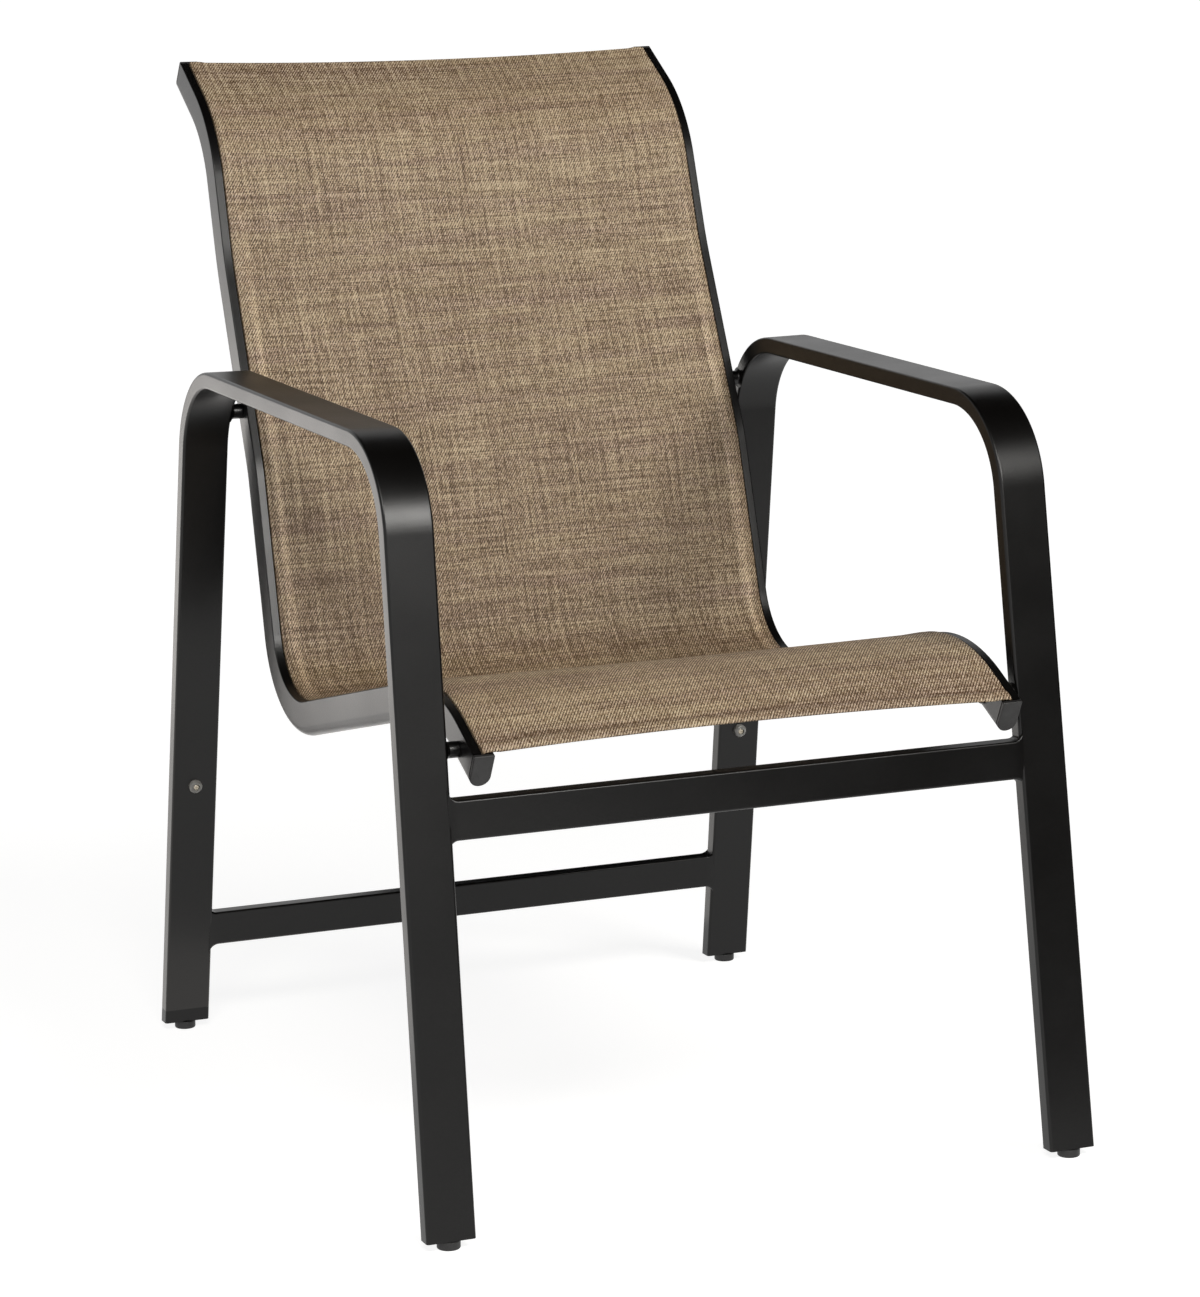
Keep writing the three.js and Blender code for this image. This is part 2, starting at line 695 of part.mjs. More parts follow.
function legPlug(from, to, levelAt, foot) {
  const slack = 2 * (BAR_WALL + GAP);
  const outline = roundedRectangle(BAR_WIDTH - slack, BAR_THICK - slack, BAR_CORNER - 1, 1);
  const block = sweep(shapeOf(outline), [frame.at(from), frame.at(to)]);
  levelLegEnd(block, frame.at(levelAt));
  const { stem, stemLength } = GLIDE;
  const bore = new THREE.CylinderGeometry(stem + GAP, stem + GAP, 2 * stemLength + 1, 10);
  bore.rotateX(Math.PI / 2).translate(foot.x, foot.y, LEG_END);
  return cut(block, [bore.applyMatrix4(chairToSide)]);
}

// Stack bumpers

function stackBumper() {
  const { radius, dome, bore, recess, seat } = BUMPER;
  const rim = recess + 0.6;
  const shoulder = 1.5;
  const crown = arc(rim, shoulder, 1, 0, 90, 3).map(({ x, y }) => [
    rim + (x - rim) * (radius - rim),
    shoulder + (y - shoulder) * (dome - shoulder),
  ]);
  const profile = [
    [bore, GAP],
    [radius, GAP],
    ...crown,
    [recess, dome],
    [recess, seat],
    [bore, seat],
    [bore, GAP],
  ];
  return onBumperFace(turned(profile, 14));
}

function bumperScrew() {
  const { head, headHeight, shank, slot, reach } = SCREW;
  const under = BUMPER.seat + GAP;
  const profile = [
    [0, -reach],
    [shank - 0.6, -reach],
    [shank, 0.8 - reach],
    [shank, under],
    [head, under],
    [head, under + headHeight / 2],
    [head - 0.8, under + headHeight],
    [slot, under + headHeight],
    [slot, under + headHeight / 2],
    [0, under + headHeight / 2],
  ];
  return onBumperFace(turned(profile, 10));
}

// Assembly

function named(name, geometry, finish) {
  const mesh = new THREE.Mesh(geometry, new THREE.MeshStandardMaterial(COLOURS[finish]));
  mesh.name = name;
  return mesh;
}

// Everything that lies in the leaning plane of one side.
function sideAssembly(side) {
  const group = new THREE.Group();
  group.position.copy(sidePose.position);
  group.rotation.copy(sidePose.rotation);
  const frontFoot = footOf(frontLegAt);
  const rearFoot = footOf(rearLegAt);
  const end = frame.length;
  const topCapPlace = rail.at(rail.length - TOP_CAP.thick);
  group.add(
    named(`side_frame_${side}`, sideFrame(), "powderCoat"),
    named(`front_boss_${side}`, boss(frontBoss), "powderCoat"),
    named(`rear_boss_${side}`, boss(rearBoss), "powderCoat"),
    named(`sling_rail_${side}`, slingRail(), "powderCoat"),
    named(`front_rail_bolt_${side}`, railBolt(frontBoss), "steel"),
    named(`rear_rail_bolt_${side}`, railBolt(rearBoss), "steel"),
    named(`front_rail_cap_${side}`, railCap(FRONT_CAP, rail.at(0), true), "nylon"),
    named(`top_rail_cap_${side}`, railCap(TOP_CAP, topCapPlace, false), "nylon"),
    named(`sling_spline_${side}`, splineRod(), "rod"),
    named(`seat_spreader_plug_${side}`, spreaderPlug(SEAT_SPREADER), "nylon"),
    named(`back_spreader_plug_${side}`, spreaderPlug(BACK_SPREADER), "nylon"),
    named(`front_leg_plug_${side}`, legPlug(0, LEG_PLUG, 0, frontFoot), "nylon"),
    named(`rear_leg_plug_${side}`, legPlug(end - LEG_PLUG, end, end, rearFoot), "nylon"),
    named(`stack_bumper_${side}`, stackBumper(), "clearVinyl"),
    named(`bumper_screw_${side}`, bumperScrew(), "steel"),
  );
  return group;
}

const chair = new THREE.Group();
for (const side of ["left", "right"]) {
  const half = new THREE.Group();
  half.scale.x = side === "left" ? -1 : 1;
  half.add(
    sideAssembly(side),
    named(`front_glide_${side}`, glide(footOf(frontLegAt)), "nylon"),
    named(`rear_glide_${side}`, glide(footOf(rearLegAt)), "nylon"),
  );
  chair.add(half);
}
chair.add(
  named("front_stretcher", stretcher(FRONT_STRETCHER, frontLegAt), "powderCoat"),
  named("rear_stretcher", stretcher(REAR_STRETCHER, rearLegAt), "powderCoat"),
  named("seat_spreader_bar", spreaderBar(SEAT_SPREADER), "powderCoat"),
  named("back_spreader_bar", spreaderBar(BACK_SPREADER), "powderCoat"),
  named("sling", sling(), "mesh"),
);

// The origin is under the middle of the chair's box, on the floor.
chair.updateMatrixWorld(true);
const box = new THREE.Box3().setFromObject(chair, true);
const middle = box.getCenter(new THREE.Vector3());
chair.position.set(-middle.x, -middle.y, -box.min.z);

const root = new THREE.Group();
root.add(chair);
export default root;
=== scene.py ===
"""Looks of a stacking patio armchair with a woven mesh sling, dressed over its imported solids.

Metres, +Z up. The sitter looks along -Y. Left and right are as seen from in front of the chair.
"""

import math
from math import cos, radians, sin

import bmesh
import bpy
from mathutils import Matrix, Vector


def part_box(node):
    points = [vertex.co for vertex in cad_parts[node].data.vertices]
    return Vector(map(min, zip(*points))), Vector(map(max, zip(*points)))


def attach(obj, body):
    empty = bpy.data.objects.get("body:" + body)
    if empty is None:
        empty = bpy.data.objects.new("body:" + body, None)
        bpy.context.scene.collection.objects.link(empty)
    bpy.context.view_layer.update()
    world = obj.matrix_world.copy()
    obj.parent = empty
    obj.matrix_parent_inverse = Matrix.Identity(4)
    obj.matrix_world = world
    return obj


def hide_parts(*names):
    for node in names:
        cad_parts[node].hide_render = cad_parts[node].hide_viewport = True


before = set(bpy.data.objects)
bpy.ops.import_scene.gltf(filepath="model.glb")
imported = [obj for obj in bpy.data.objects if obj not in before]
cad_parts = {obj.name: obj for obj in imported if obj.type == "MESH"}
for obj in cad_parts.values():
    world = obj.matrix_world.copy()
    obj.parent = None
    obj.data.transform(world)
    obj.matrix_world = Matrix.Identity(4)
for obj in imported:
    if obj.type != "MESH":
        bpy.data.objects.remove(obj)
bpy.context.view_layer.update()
bpy.ops.object.select_all(action="DESELECT")


# Side frames
# Each is one flat aluminium tube, 44 by 15.5 mm with a 2 mm wall, bent into front leg, arm and
# rear leg. Both lean in a little towards the top and the back. The legs are sawn off level.

BAR_WIDTH = 0.044
BAR_THICK = 0.0155
BAR_WALL = 0.002
BAR_CORNER = 0.0025
BAR_BEND = 0.0842
FRONT_FOOT = 0.0078
FRONT_LEAN = radians(8.8)
REAR_FOOT = 0.7217
REAR_LEAN = radians(8.46)
ARM_HEIGHT = 0.6523
ARM_RISE = radians(0.25)
LEG_END = 0.0075

# The right side frame's own plane is modelled at x = 0, with the foot of the front leg at y = 0.
# This leans it and carries it to its place beside the seat.
lean_right = (
    Matrix.Translation((0.2922, -0.404524, 0))
    @ Matrix.Rotation(-math.atan(0.0123), 4, "Y")
    @ Matrix.Rotation(math.atan(0.0034), 4, "Z")
)


def pick(piece):
    """Makes one piece the only selected object, so that operators act on it alone."""
    if bpy.context.object and bpy.context.object.mode != "OBJECT":
        bpy.ops.object.mode_set(mode="OBJECT")
    bpy.ops.object.select_all(action="DESELECT")
    piece.select_set(True)
    bpy.context.view_layer.objects.active = piece


def choose(piece, kind, wanted):
    """Goes to edit mode and selects the vertices, edges or faces that pass a test."""
    bpy.ops.object.mode_set(mode="EDIT")
    bpy.ops.mesh.select_mode(type=kind)
    bpy.ops.mesh.select_all(action="DESELECT")
    shape = bmesh.from_edit_mesh(piece.data)
    shape.normal_update()
    items = {"VERT": shape.verts, "EDGE": shape.edges, "FACE": shape.faces}[kind]
    for item in items:
        if wanted(item):
            item.select_set(True)
    bmesh.update_edit_mesh(piece.data)


def edit_all():
    """Goes to edit mode with everything selected."""
    bpy.ops.object.mode_set(mode="EDIT")
    bpy.ops.mesh.select_all(action="SELECT")


def push(step):
    """Extrudes what is selected by a step."""
    bpy.ops.mesh.extrude_region_move(TRANSFORM_OT_translate={"value": step})


def rounded_end(width, height, corner, steps):
    """Starts a bar with its flat end: a rectangle in XY with its corners rounded."""
    bpy.ops.mesh.primitive_plane_add(size=1)
    end = bpy.context.object
    end.scale = (width, height, 1)
    bpy.ops.object.transform_apply()
    edit_all()
    bpy.ops.mesh.bevel(offset=corner, segments=steps, affect="VERTICES")
    bpy.ops.object.mode_set(mode="OBJECT")
    return end


def lay_out(start, heading, runs):
    """Lists a line's straights and bends in the YZ plane as (from, y, z, heading, length, turn)."""
    y, z = start
    gone, parts = 0.0, []
    for run in runs:
        turn = run["to"] - heading if "to" in run else 0.0
        length = abs(turn) * run["bend"] if turn else run["straight"]
        parts.append((gone, y, z, heading, length, turn))
        gone += length
        y, z, heading = place_at(parts, gone)
    return parts


def place_at(parts, distance):
    """The point and heading at a distance along a line."""
    gone, y, z, heading, length, turn = [p for p in parts if p[0] <= distance + 1e-9][-1]
    along = distance - gone
    if not turn:
        return y + along * cos(heading), z + along * sin(heading), heading
    reach = length / turn
    now = heading + along / reach
    return y + reach * (sin(now) - sin(heading)), z - reach * (cos(now) - cos(heading)), now


def draw_along(piece, parts, degrees_each):
    """Stands a flat end across a line's start, extrudes it on straights and spins it in bends."""
    _, y, z, heading, _, _ = parts[0]
    piece.rotation_euler = (heading - math.pi / 2, 0, 0)
    piece.location = (0, y, z)
    bpy.ops.object.transform_apply()
    edit_all()
    for _, y, z, heading, length, turn in parts:
        if not turn:
            push((0, length * cos(heading), length * sin(heading)))
            continue
        reach = length / turn
        centre = (0, y - reach * sin(heading), z + reach * cos(heading))
        steps = math.ceil(abs(math.degrees(turn)) / degrees_each)
        bpy.ops.mesh.spin(steps=steps, angle=-turn, center=centre, axis=(1, 0, 0))
    bpy.ops.mesh.select_all(action="SELECT")
    bpy.ops.mesh.remove_doubles(threshold=1e-6)
    face_outwards(piece)


def face_outwards(piece):
    """Turns every face of a piece to look outwards, and goes back to object mode."""
    choose(piece, "FACE", lambda face: True)
    bpy.ops.mesh.normals_make_consistent(inside=False)
    bpy.ops.object.mode_set(mode="OBJECT")


def smooth(piece):
    """Shades rounded edges smooth and keeps wide flats flat."""
    pick(piece)
    bpy.ops.object.shade_smooth_by_angle(angle=radians(32))
    flats = piece.modifiers.new("flats", "WEIGHTED_NORMAL")
    flats.keep_sharp = True
    flats.weight = 90
    bpy.ops.object.modifier_apply(modifier=flats.name)


def put_on(piece, finish):
    """Gives one material to a piece, or to a solid that stays."""
    piece.data.materials.clear()
    piece.data.materials.append(finish)


def dress(piece, name, finish, node):
    """Names a finished piece, gives it its material and says which solid it stands for."""
    piece.name = name
    piece.data.name = name
    put_on(piece, finish)
    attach(piece, "root")
    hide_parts(node)


def set_pair(piece, name, finish, node):
    """Leans a right-hand piece into place and sets its mirror image on the left."""
    pick(piece)
    piece.data.transform(lean_right)
    twin = piece.copy()
    twin.data = piece.data.copy()
    bpy.context.collection.objects.link(twin)
    twin.data.transform(Matrix.Scale(-1, 4, (1, 0, 0)))
    twin.data.flip_normals()
    for side, half in (("right", piece), ("left", twin)):
        smooth(half)
        dress(half, f"{name}_{side}", finish, f"{node}_{side}")


def srgb(code):
    """Linear colour of an sRGB hex code."""
    parts = [int(code[i : i + 2], 16) / 255 for i in (1, 3, 5)]
    linear = [c / 12.92 if c <= 0.04045 else ((c + 0.055) / 1.055) ** 2.4 for c in parts]
    return (*linear, 1.0)


def add_node(tree, kind, inputs=None, **settings):
    """Adds a node, sets its properties, and sets or links its inputs.

    A node that is given for an input stands for its first output in use.
    """
    added = tree.nodes.new(kind)
    for key, value in settings.items():
        setattr(added, key, value)
    for key, value in (inputs or {}).items():
        if isinstance(value, bpy.types.Node):
            value = next(output for output in value.outputs if output.enabled)
        if isinstance(value, bpy.types.NodeSocket):
            tree.links.new(value, added.inputs[key])
        else:
            added.inputs[key].default_value = value
    return added


def new_finish(name):
    """An empty material, with its node tree and the socket that its shader goes to."""
    finish = bpy.data.materials.new(name)
    finish.use_nodes = True
    finish.node_tree.nodes.clear()
    output = finish.node_tree.nodes.new("ShaderNodeOutputMaterial")
    return finish, finish.node_tree, output.inputs["Surface"]


# Satin powder coat in a near-black bronze, sprayed and baked on aluminium. The melt leaves a faint
# orange peel of about a millimetre and tiny pits, so highlights are soft with a slight sparkle.
# Dust and hands have dulled the faces that look up.
powder_coat, tree, surface = new_finish("satin_bronze_powder_coat")
place = add_node(tree, "ShaderNodeTexCoord").outputs["Object"]
peel = add_node(
    tree, "ShaderNodeTexNoise",
    {"Vector": place, "Scale": 900.0, "Detail": 2.0, "Roughness": 0.6},
)
grit = add_node(
    tree, "ShaderNodeTexNoise",
    {"Vector": place, "Scale": 420.0, "Detail": 3.0, "Roughness": 0.7},
)
patch = add_node(tree, "ShaderNodeTexNoise", {"Vector": place, "Scale": 14.0, "Detail": 3.0})
tone = add_node(
    tree, "ShaderNodeMapRange", {"Value": grit, "From Min": 0.3, "From Max": 0.72}
)
colour = add_node(
    tree, "ShaderNodeMix", {"Factor": tone, "A": srgb("#050404"), "B": srgb("#0A0908")},
    data_type="RGBA",
)
gloss = add_node(
    tree, "ShaderNodeMapRange",
    {"Value": patch, "From Min": 0.3, "From Max": 0.7, "To Min": 0.28, "To Max": 0.33},
)
facing = add_node(tree, "ShaderNodeNewGeometry").outputs["Normal"]
facing = add_node(tree, "ShaderNodeSeparateXYZ", {"Vector": facing}).outputs["Z"]
dust = add_node(
    tree, "ShaderNodeMapRange",
    {"Value": facing, "From Min": 0.93, "From Max": 0.99, "To Min": 0.0, "To Max": 0.08},
)
rough = add_node(tree, "ShaderNodeMath", {0: gloss, 1: dust}, operation="ADD")
bump = add_node(tree, "ShaderNodeBump", {"Height": peel, "Strength": 0.18, "Distance": 0.0004})
coat = add_node(
    tree, "ShaderNodeBsdfPrincipled",
    {"Base Color": colour, "Roughness": rough, "Normal": bump, "IOR": 1.38},
)
tree.links.new(coat.outputs["BSDF"], surface)

# The middle line of the tube, from below the floor so that the saw cut finds it, and back down.
# The tops are where the legs' lines would meet the arm's, without the bends.
front_top = (ARM_HEIGHT + FRONT_FOOT * math.tan(ARM_RISE)) / (
    1 - math.tan(FRONT_LEAN) * math.tan(ARM_RISE)
)
rear_top = (ARM_HEIGHT + REAR_FOOT * math.tan(ARM_RISE)) / (
    1 + math.tan(REAR_LEAN) * math.tan(ARM_RISE)
)
front_tangent = BAR_BEND * math.tan((math.pi / 2 - FRONT_LEAN - ARM_RISE) / 2)
rear_tangent = BAR_BEND * math.tan((math.pi / 2 - REAR_LEAN + ARM_RISE) / 2)
arm_length = (
    REAR_FOOT - rear_top * math.tan(REAR_LEAN) - FRONT_FOOT - front_top * math.tan(FRONT_LEAN)
) / cos(ARM_RISE)
spare = 0.012
tube_line = lay_out(
    (FRONT_FOOT - spare * math.tan(FRONT_LEAN), -spare),
    math.pi / 2 - FRONT_LEAN,
    [
        {"straight": (front_top + spare) / cos(FRONT_LEAN) - front_tangent},
        {"bend": BAR_BEND, "to": ARM_RISE},
        {"straight": arm_length - front_tangent - rear_tangent},
        {"bend": BAR_BEND, "to": REAR_LEAN - math.pi / 2},
        {"straight": (rear_top + spare) / cos(REAR_LEAN) - rear_tangent},
    ],
)

tube = rounded_end(BAR_WIDTH, BAR_THICK, BAR_CORNER, 5)
draw_along(tube, tube_line, 2.5)
tube.data.transform(lean_right)
choose(tube, "FACE", lambda face: True)
bpy.ops.mesh.bisect(
    plane_co=(0, 0, LEG_END), plane_no=(0, 0, 1), use_fill=True, clear_inner=True
)

# The tube's open mouths: the wall's thickness is inset, and the hollow goes up inside each leg.
HOLLOW = 0.05
for lean in (FRONT_LEAN, -REAR_LEAN):
    choose(
        tube, "FACE",
        lambda face: face.normal.z < -0.99
        and face.calc_center_median().z < LEG_END + 1e-4
        and (face.calc_center_median().y < 0) == (lean > 0),
    )
    bpy.ops.mesh.inset(thickness=BAR_WALL, depth=0)
    push((0, HOLLOW * math.tan(lean), HOLLOW))
bpy.ops.object.mode_set(mode="OBJECT")
tube.data.transform(lean_right.inverted())
set_pair(tube, "bent_tube", powder_coat, "side_frame")


# Stretchers
# Two rectangular tubes welded across between the legs, the front one high under the seat and the
# rear one low. The welds are dressed smooth and flare into the legs above and below.

STRETCHER_THICK = 0.016
STRETCHER_CORNER = 0.0022
WELD = 0.0092
WELD_RUN_OUT = 0.0027
WELD_STEPS = 8


def stretcher(name, top, height, leg_at, lean):
    """A stretcher by its top and height, between two legs whose middle line is given."""
    middle = top - height / 2
    leg_face = lean_right @ Vector((-BAR_WIDTH / 2, leg_at(middle), middle))
    half = leg_face.x + WELD_RUN_OUT
    bar = rounded_end(height, STRETCHER_THICK, STRETCHER_CORNER, 4)
    bar.rotation_euler = (0, math.pi / 2, 0)
    bar.location = (-(half - WELD), leg_face.y, middle)
    bpy.ops.object.transform_apply()
    edit_all()
    push((2 * (half - WELD), 0, 0))
    # Each end grows to the leg in short steps whose heights follow a quarter circle. It turns to
    # the leg's lean and runs out over the leg's rounded edge, as the dressed weld does.
    for toward in (1, -1):
        choose(bar, "FACE", lambda face: face.calc_center_median().x * toward > half - WELD - 1e-4)
        before = 1.0
        for step in range(1, WELD_STEPS + 1):
            angle = radians(90 * step / WELD_STEPS)
            run = WELD * (sin(angle) - sin(angle - radians(90 / WELD_STEPS)))
            grown = 1 + 2 * WELD * (1 - cos(angle)) / height
            push((toward * run, 0, 0))
            bpy.ops.transform.resize(value=(1, 0.9975, grown / before))
            bpy.ops.transform.rotate(
                value=lean / WELD_STEPS, orient_axis="X", orient_type="GLOBAL",
                center_override=(0, leg_face.y, middle),
            )
            before = grown
    face_outwards(bar)
    smooth(bar)
    dress(bar, f"welded_{name}", powder_coat, name)


def front_leg_at(z):
    return FRONT_FOOT + z * math.tan(FRONT_LEAN)


def rear_leg_at(z):
    return REAR_FOOT - z * math.tan(REAR_LEAN)


stretcher(
    "front_stretcher", top=0.3661, height=0.0343, leg_at=front_leg_at, lean=FRONT_LEAN
)
stretcher("rear_stretcher", top=0.1169, height=0.032, leg_at=rear_leg_at, lean=-REAR_LEAN)


# Sling rails
# Each is one aluminium extrusion, 18.4 by 31.5 mm with a round lower edge, bent to the seat and
# back. A keyhole groove runs along its top and takes the sling's side hem with a plastic rod in it.

RAIL_OUTER = 0.0332
RAIL_WIDTH = 0.0184
RAIL_DEPTH = 0.0315
RAIL_CORNER = 0.0012
GROOVE_IN = 0.0419
GROOVE_DOWN = 0.0057
GROOVE_RADIUS = 0.00375
SLOT_HALF = 0.0011
FRONT_CAP_THICK = 0.004
TOP_CAP_THICK = 0.0026
GAP = 0.0003

# The rail's outer top edge, from the front cap's face to the top cap's.
sling_line = lay_out(
    (0.0312, 0.4069),
    radians(27),
    [
        {"straight": 0.045},
        {"bend": 0.166, "to": radians(-14.3)},
        {"straight": 0.277},
        {"bend": 0.069, "to": radians(73.7)},
        {"straight": 0.144},
        {"bend": 0.157, "to": radians(65.5)},
        {"straight": 0.172},
        {"bend": 0.315, "to": radians(71.8)},
        {"straight": 0.065},
        {"bend": 0.1345, "to": radians(31.7)},
        {"straight": 0.053},
    ],
)
SLING_LENGTH = sling_line[-1][0] + sling_line[-1][4]
RAIL_FROM = FRONT_CAP_THICK + GAP
RAIL_TO = SLING_LENGTH - TOP_CAP_THICK - GAP


def rail_end(grooved):
    """The rail's outline in XY, with -x inboard and -y up, and with its keyhole or without."""
    bpy.ops.mesh.primitive_plane_add(size=1)
    end = bpy.context.object
    end.scale = (RAIL_WIDTH, RAIL_DEPTH, 1)
    end.location = (-RAIL_OUTER - RAIL_WIDTH / 2, RAIL_DEPTH / 2, 0)
    bpy.ops.object.transform_apply()
    for corner, radius, steps in (
        (lambda vert: vert.co.y > RAIL_DEPTH / 2, RAIL_WIDTH / 2 - 1e-5, 9),
        (lambda vert: vert.co.y < 1e-6, RAIL_CORNER, 3),
    ):
        choose(end, "VERT", corner)
        bpy.ops.mesh.bevel(offset=radius, segments=steps, affect="VERTICES")
    if grooved:
        cut_keyhole(end)
    bpy.ops.object.mode_set(mode="OBJECT")
    return end


def cut_keyhole(end):
    """Opens the slot in the outline's top edge and joins it to a round groove below."""
    bpy.ops.mesh.select_all(action="SELECT")
    bpy.ops.mesh.delete(type="ONLY_FACE")
    for side in (-1, 1):
        choose(end, "EDGE", lambda edge: all(v.co.y < 1e-6 for v in edge.verts))
        bpy.ops.mesh.bisect(plane_co=(-GROOVE_IN + side * SLOT_HALF, 0, 0), plane_no=(1, 0, 0))
    choose(
        end, "EDGE",
        lambda edge: all(
            v.co.y < 1e-6 and abs(v.co.x + GROOVE_IN) < SLOT_HALF + 1e-5 for v in edge.verts
        ),
    )
    bpy.ops.mesh.delete(type="EDGE")
    bpy.ops.mesh.primitive_circle_add(
        vertices=28, radius=GROOVE_RADIUS, location=(-GROOVE_IN, GROOVE_DOWN, 0)
    )
    choose(
        end, "VERT",
        lambda vert: 1e-4 < vert.co.y < GROOVE_DOWN and abs(vert.co.x + GROOVE_IN) < SLOT_HALF,
    )
    bpy.ops.mesh.delete(type="VERT")
    for side in (-1, 1):
        choose(
            end, "VERT",
            lambda vert: len(vert.link_edges) == 1 and (vert.co.x + GROOVE_IN) * side > 0,
        )
        bpy.ops.mesh.edge_face_add()
    bpy.ops.mesh.select_all(action="SELECT")
    bpy.ops.mesh.edge_face_add()


def trimmed(parts, start, stop):
    """A line without what lies before start and after stop, both on straights."""
    first, last = list(parts[0]), list(parts[-1])
    first[1], first[2], _ = place_at(parts, start)
    first[4] -= start
    last[4] -= parts[-1][0] + parts[-1][4] - stop
    return [tuple(first), *parts[1:-1], tuple(last)]


rail = rail_end(grooved=True)
draw_along(rail, trimmed(sling_line, RAIL_FROM, RAIL_TO), 2.5)
set_pair(rail, "grooved_rail", powder_coat, "sling_rail")


# Rail end caps
# Moulded black nylon, pushed into the rails' ends and seated against them. The front ones are
# thick plates with rounded rims, and the top ones are thin.


def mottle(tree, blots, dark, light, low, high):
    """A colour between two tones, and a roughness, that change with the same blots."""
    colour = add_node(
        tree, "ShaderNodeMix", {"Factor": blots, "A": srgb(dark), "B": srgb(light)},
        data_type="RGBA",
    )
    rough = add_node(
        tree, "ShaderNodeMapRange",
        {"Value": blots, "From Min": 0.3, "From Max": 0.7, "To Min": low, "To Max": high},
    )
    return colour, rough


# Matt black nylon: a fine spark-eroded mould texture, about 0.3 mm across, that kills the gloss.
black_nylon, tree, surface = new_finish("moulded_black_nylon")
place = add_node(tree, "ShaderNodeTexCoord").outputs["Object"]
grain = add_node(
    tree, "ShaderNodeTexNoise",
    {"Vector": place, "Scale": 1600.0, "Detail": 3.0, "Roughness": 0.6},
)
scuff = add_node(tree, "ShaderNodeTexNoise", {"Vector": place, "Scale": 120.0, "Detail": 4.0})
colour, rough = mottle(tree, scuff, "#100F0F", "#191818", 0.46, 0.6)
bump = add_node(tree, "ShaderNodeBump", {"Height": grain, "Strength": 0.25, "Distance": 0.0003})
nylon = add_node(
    tree, "ShaderNodeBsdfPrincipled",
    {"Base Color": colour, "Roughness": rough, "Normal": bump, "IOR": 1.53},
)
tree.links.new(nylon.outputs["BSDF"], surface)


def rail_cap(name, node, start, thick, rim):
    """A pair of caps from one place on the rail's line on, with their rims rounded."""
    cap = rail_end(grooved=False)
    y, z, heading = place_at(sling_line, start)
    draw_along(cap, [(0, y, z, heading, thick, 0.0)], 2.5)
    ahead = Vector((0, cos(heading), sin(heading)))
    choose(
        cap, "EDGE",
        lambda edge: len(edge.link_faces) == 2
        and sum(abs(face.normal.dot(ahead)) > 0.9 for face in edge.link_faces) == 1,
    )
    bpy.ops.mesh.bevel(offset=rim, segments=3, affect="EDGES")
    set_pair(cap, name, black_nylon, node)


rail_cap("front_cap_plate", "front_rail_cap", start=0.0, thick=FRONT_CAP_THICK, rim=0.0012)
rail_cap(
    "top_cap_plate", "top_rail_cap", start=SLING_LENGTH - TOP_CAP_THICK, thick=TOP_CAP_THICK,
    rim=0.0008,
)


# Standoff bosses
# Short round bars that hold each rail off its side frame. They are welded to the leg, with the
# weld flaring out round them, and powder coated with the frame. The rail bolt screws into each.

BOSS_RADIUS = 0.007
BOSS_START = BAR_WIDTH / 2 + 0.0026
# The weld's steps towards the leg: how far each runs, and how much it grows.
FLARE = ((0.0007, 1.03), (0.0007, 1.07), (0.0007, 1.12), (0.001, 1.16))
FRONT_BOSS_HEIGHT = 0.406
REAR_BOSS_HEIGHT = 0.616
# The rear boss lies on the middle line of the bend between arm and rear leg.
_, bend_y, bend_z, bend_heading, _, _ = tube_line[3]
bend_centre = (bend_y + BAR_BEND * sin(bend_heading), bend_z - BAR_BEND * cos(bend_heading))
reach = math.sqrt(BAR_BEND**2 - (REAR_BOSS_HEIGHT - bend_centre[1]) ** 2)
BOSSES = (
    ("front", (front_leg_at(FRONT_BOSS_HEIGHT), FRONT_BOSS_HEIGHT)),
    ("rear", (bend_centre[0] + reach, REAR_BOSS_HEIGHT)),
)


def turned_stub(radius, start, stop, place, sides=40):
    """A round stub that lies across the chair, from one distance inboard to another."""
    bpy.ops.mesh.primitive_cylinder_add(
        vertices=sides, radius=radius, depth=stop - start,
        location=(-(start + stop) / 2, *place), rotation=(0, -math.pi / 2, 0),
    )
    stub = bpy.context.object
    bpy.ops.object.transform_apply()
    return stub


def end_face(piece, direction):
    """Selects the flat end that looks one way."""
    choose(piece, "FACE", lambda face: face.normal.dot(direction) > 0.9 and len(face.verts) > 8)


for where, place in BOSSES:
    boss = turned_stub(BOSS_RADIUS, BOSS_START, RAIL_OUTER, place)
    end_face(boss, Vector((1, 0, 0)))
    for run, grow in FLARE:
        push((run, 0, 0))
        bpy.ops.transform.resize(value=(1, grow, grow))
    end_face(boss, Vector((-1, 0, 0)))
    bpy.ops.mesh.bevel(offset=0.0004, segments=2, affect="EDGES")
    set_pair(boss, f"{where}_standoff", powder_coat, f"{where}_boss")


# Rail bolts
# Button-head socket bolts of blackened steel, put in from the rail's inner side. They pull the
# rail against its bosses.

# Blackened steel: a thin dark oxide over turned metal, with a dull sheen and faint tool rings.
black_steel, tree, surface = new_finish("blackened_steel")
place = add_node(tree, "ShaderNodeTexCoord").outputs["Object"]
wear = add_node(
    tree, "ShaderNodeTexNoise",
    {"Vector": place, "Scale": 500.0, "Detail": 4.0, "Roughness": 0.6},
)
colour, rough = mottle(tree, wear, "#2A2725", "#4A4642", 0.3, 0.42)
steel = add_node(
    tree, "ShaderNodeBsdfPrincipled", {"Base Color": colour, "Roughness": rough, "Metallic": 1.0}
)
tree.links.new(steel.outputs["BSDF"], surface)

HEAD_RADIUS = 0.0065
HEAD_HEIGHT = 0.0036
HEAD_DOME = 0.0026
SOCKET_FLATS = 0.004
SOCKET_FLOOR = 0.0014
BOLT_SEAT = RAIL_OUTER + RAIL_WIDTH + 0.0001


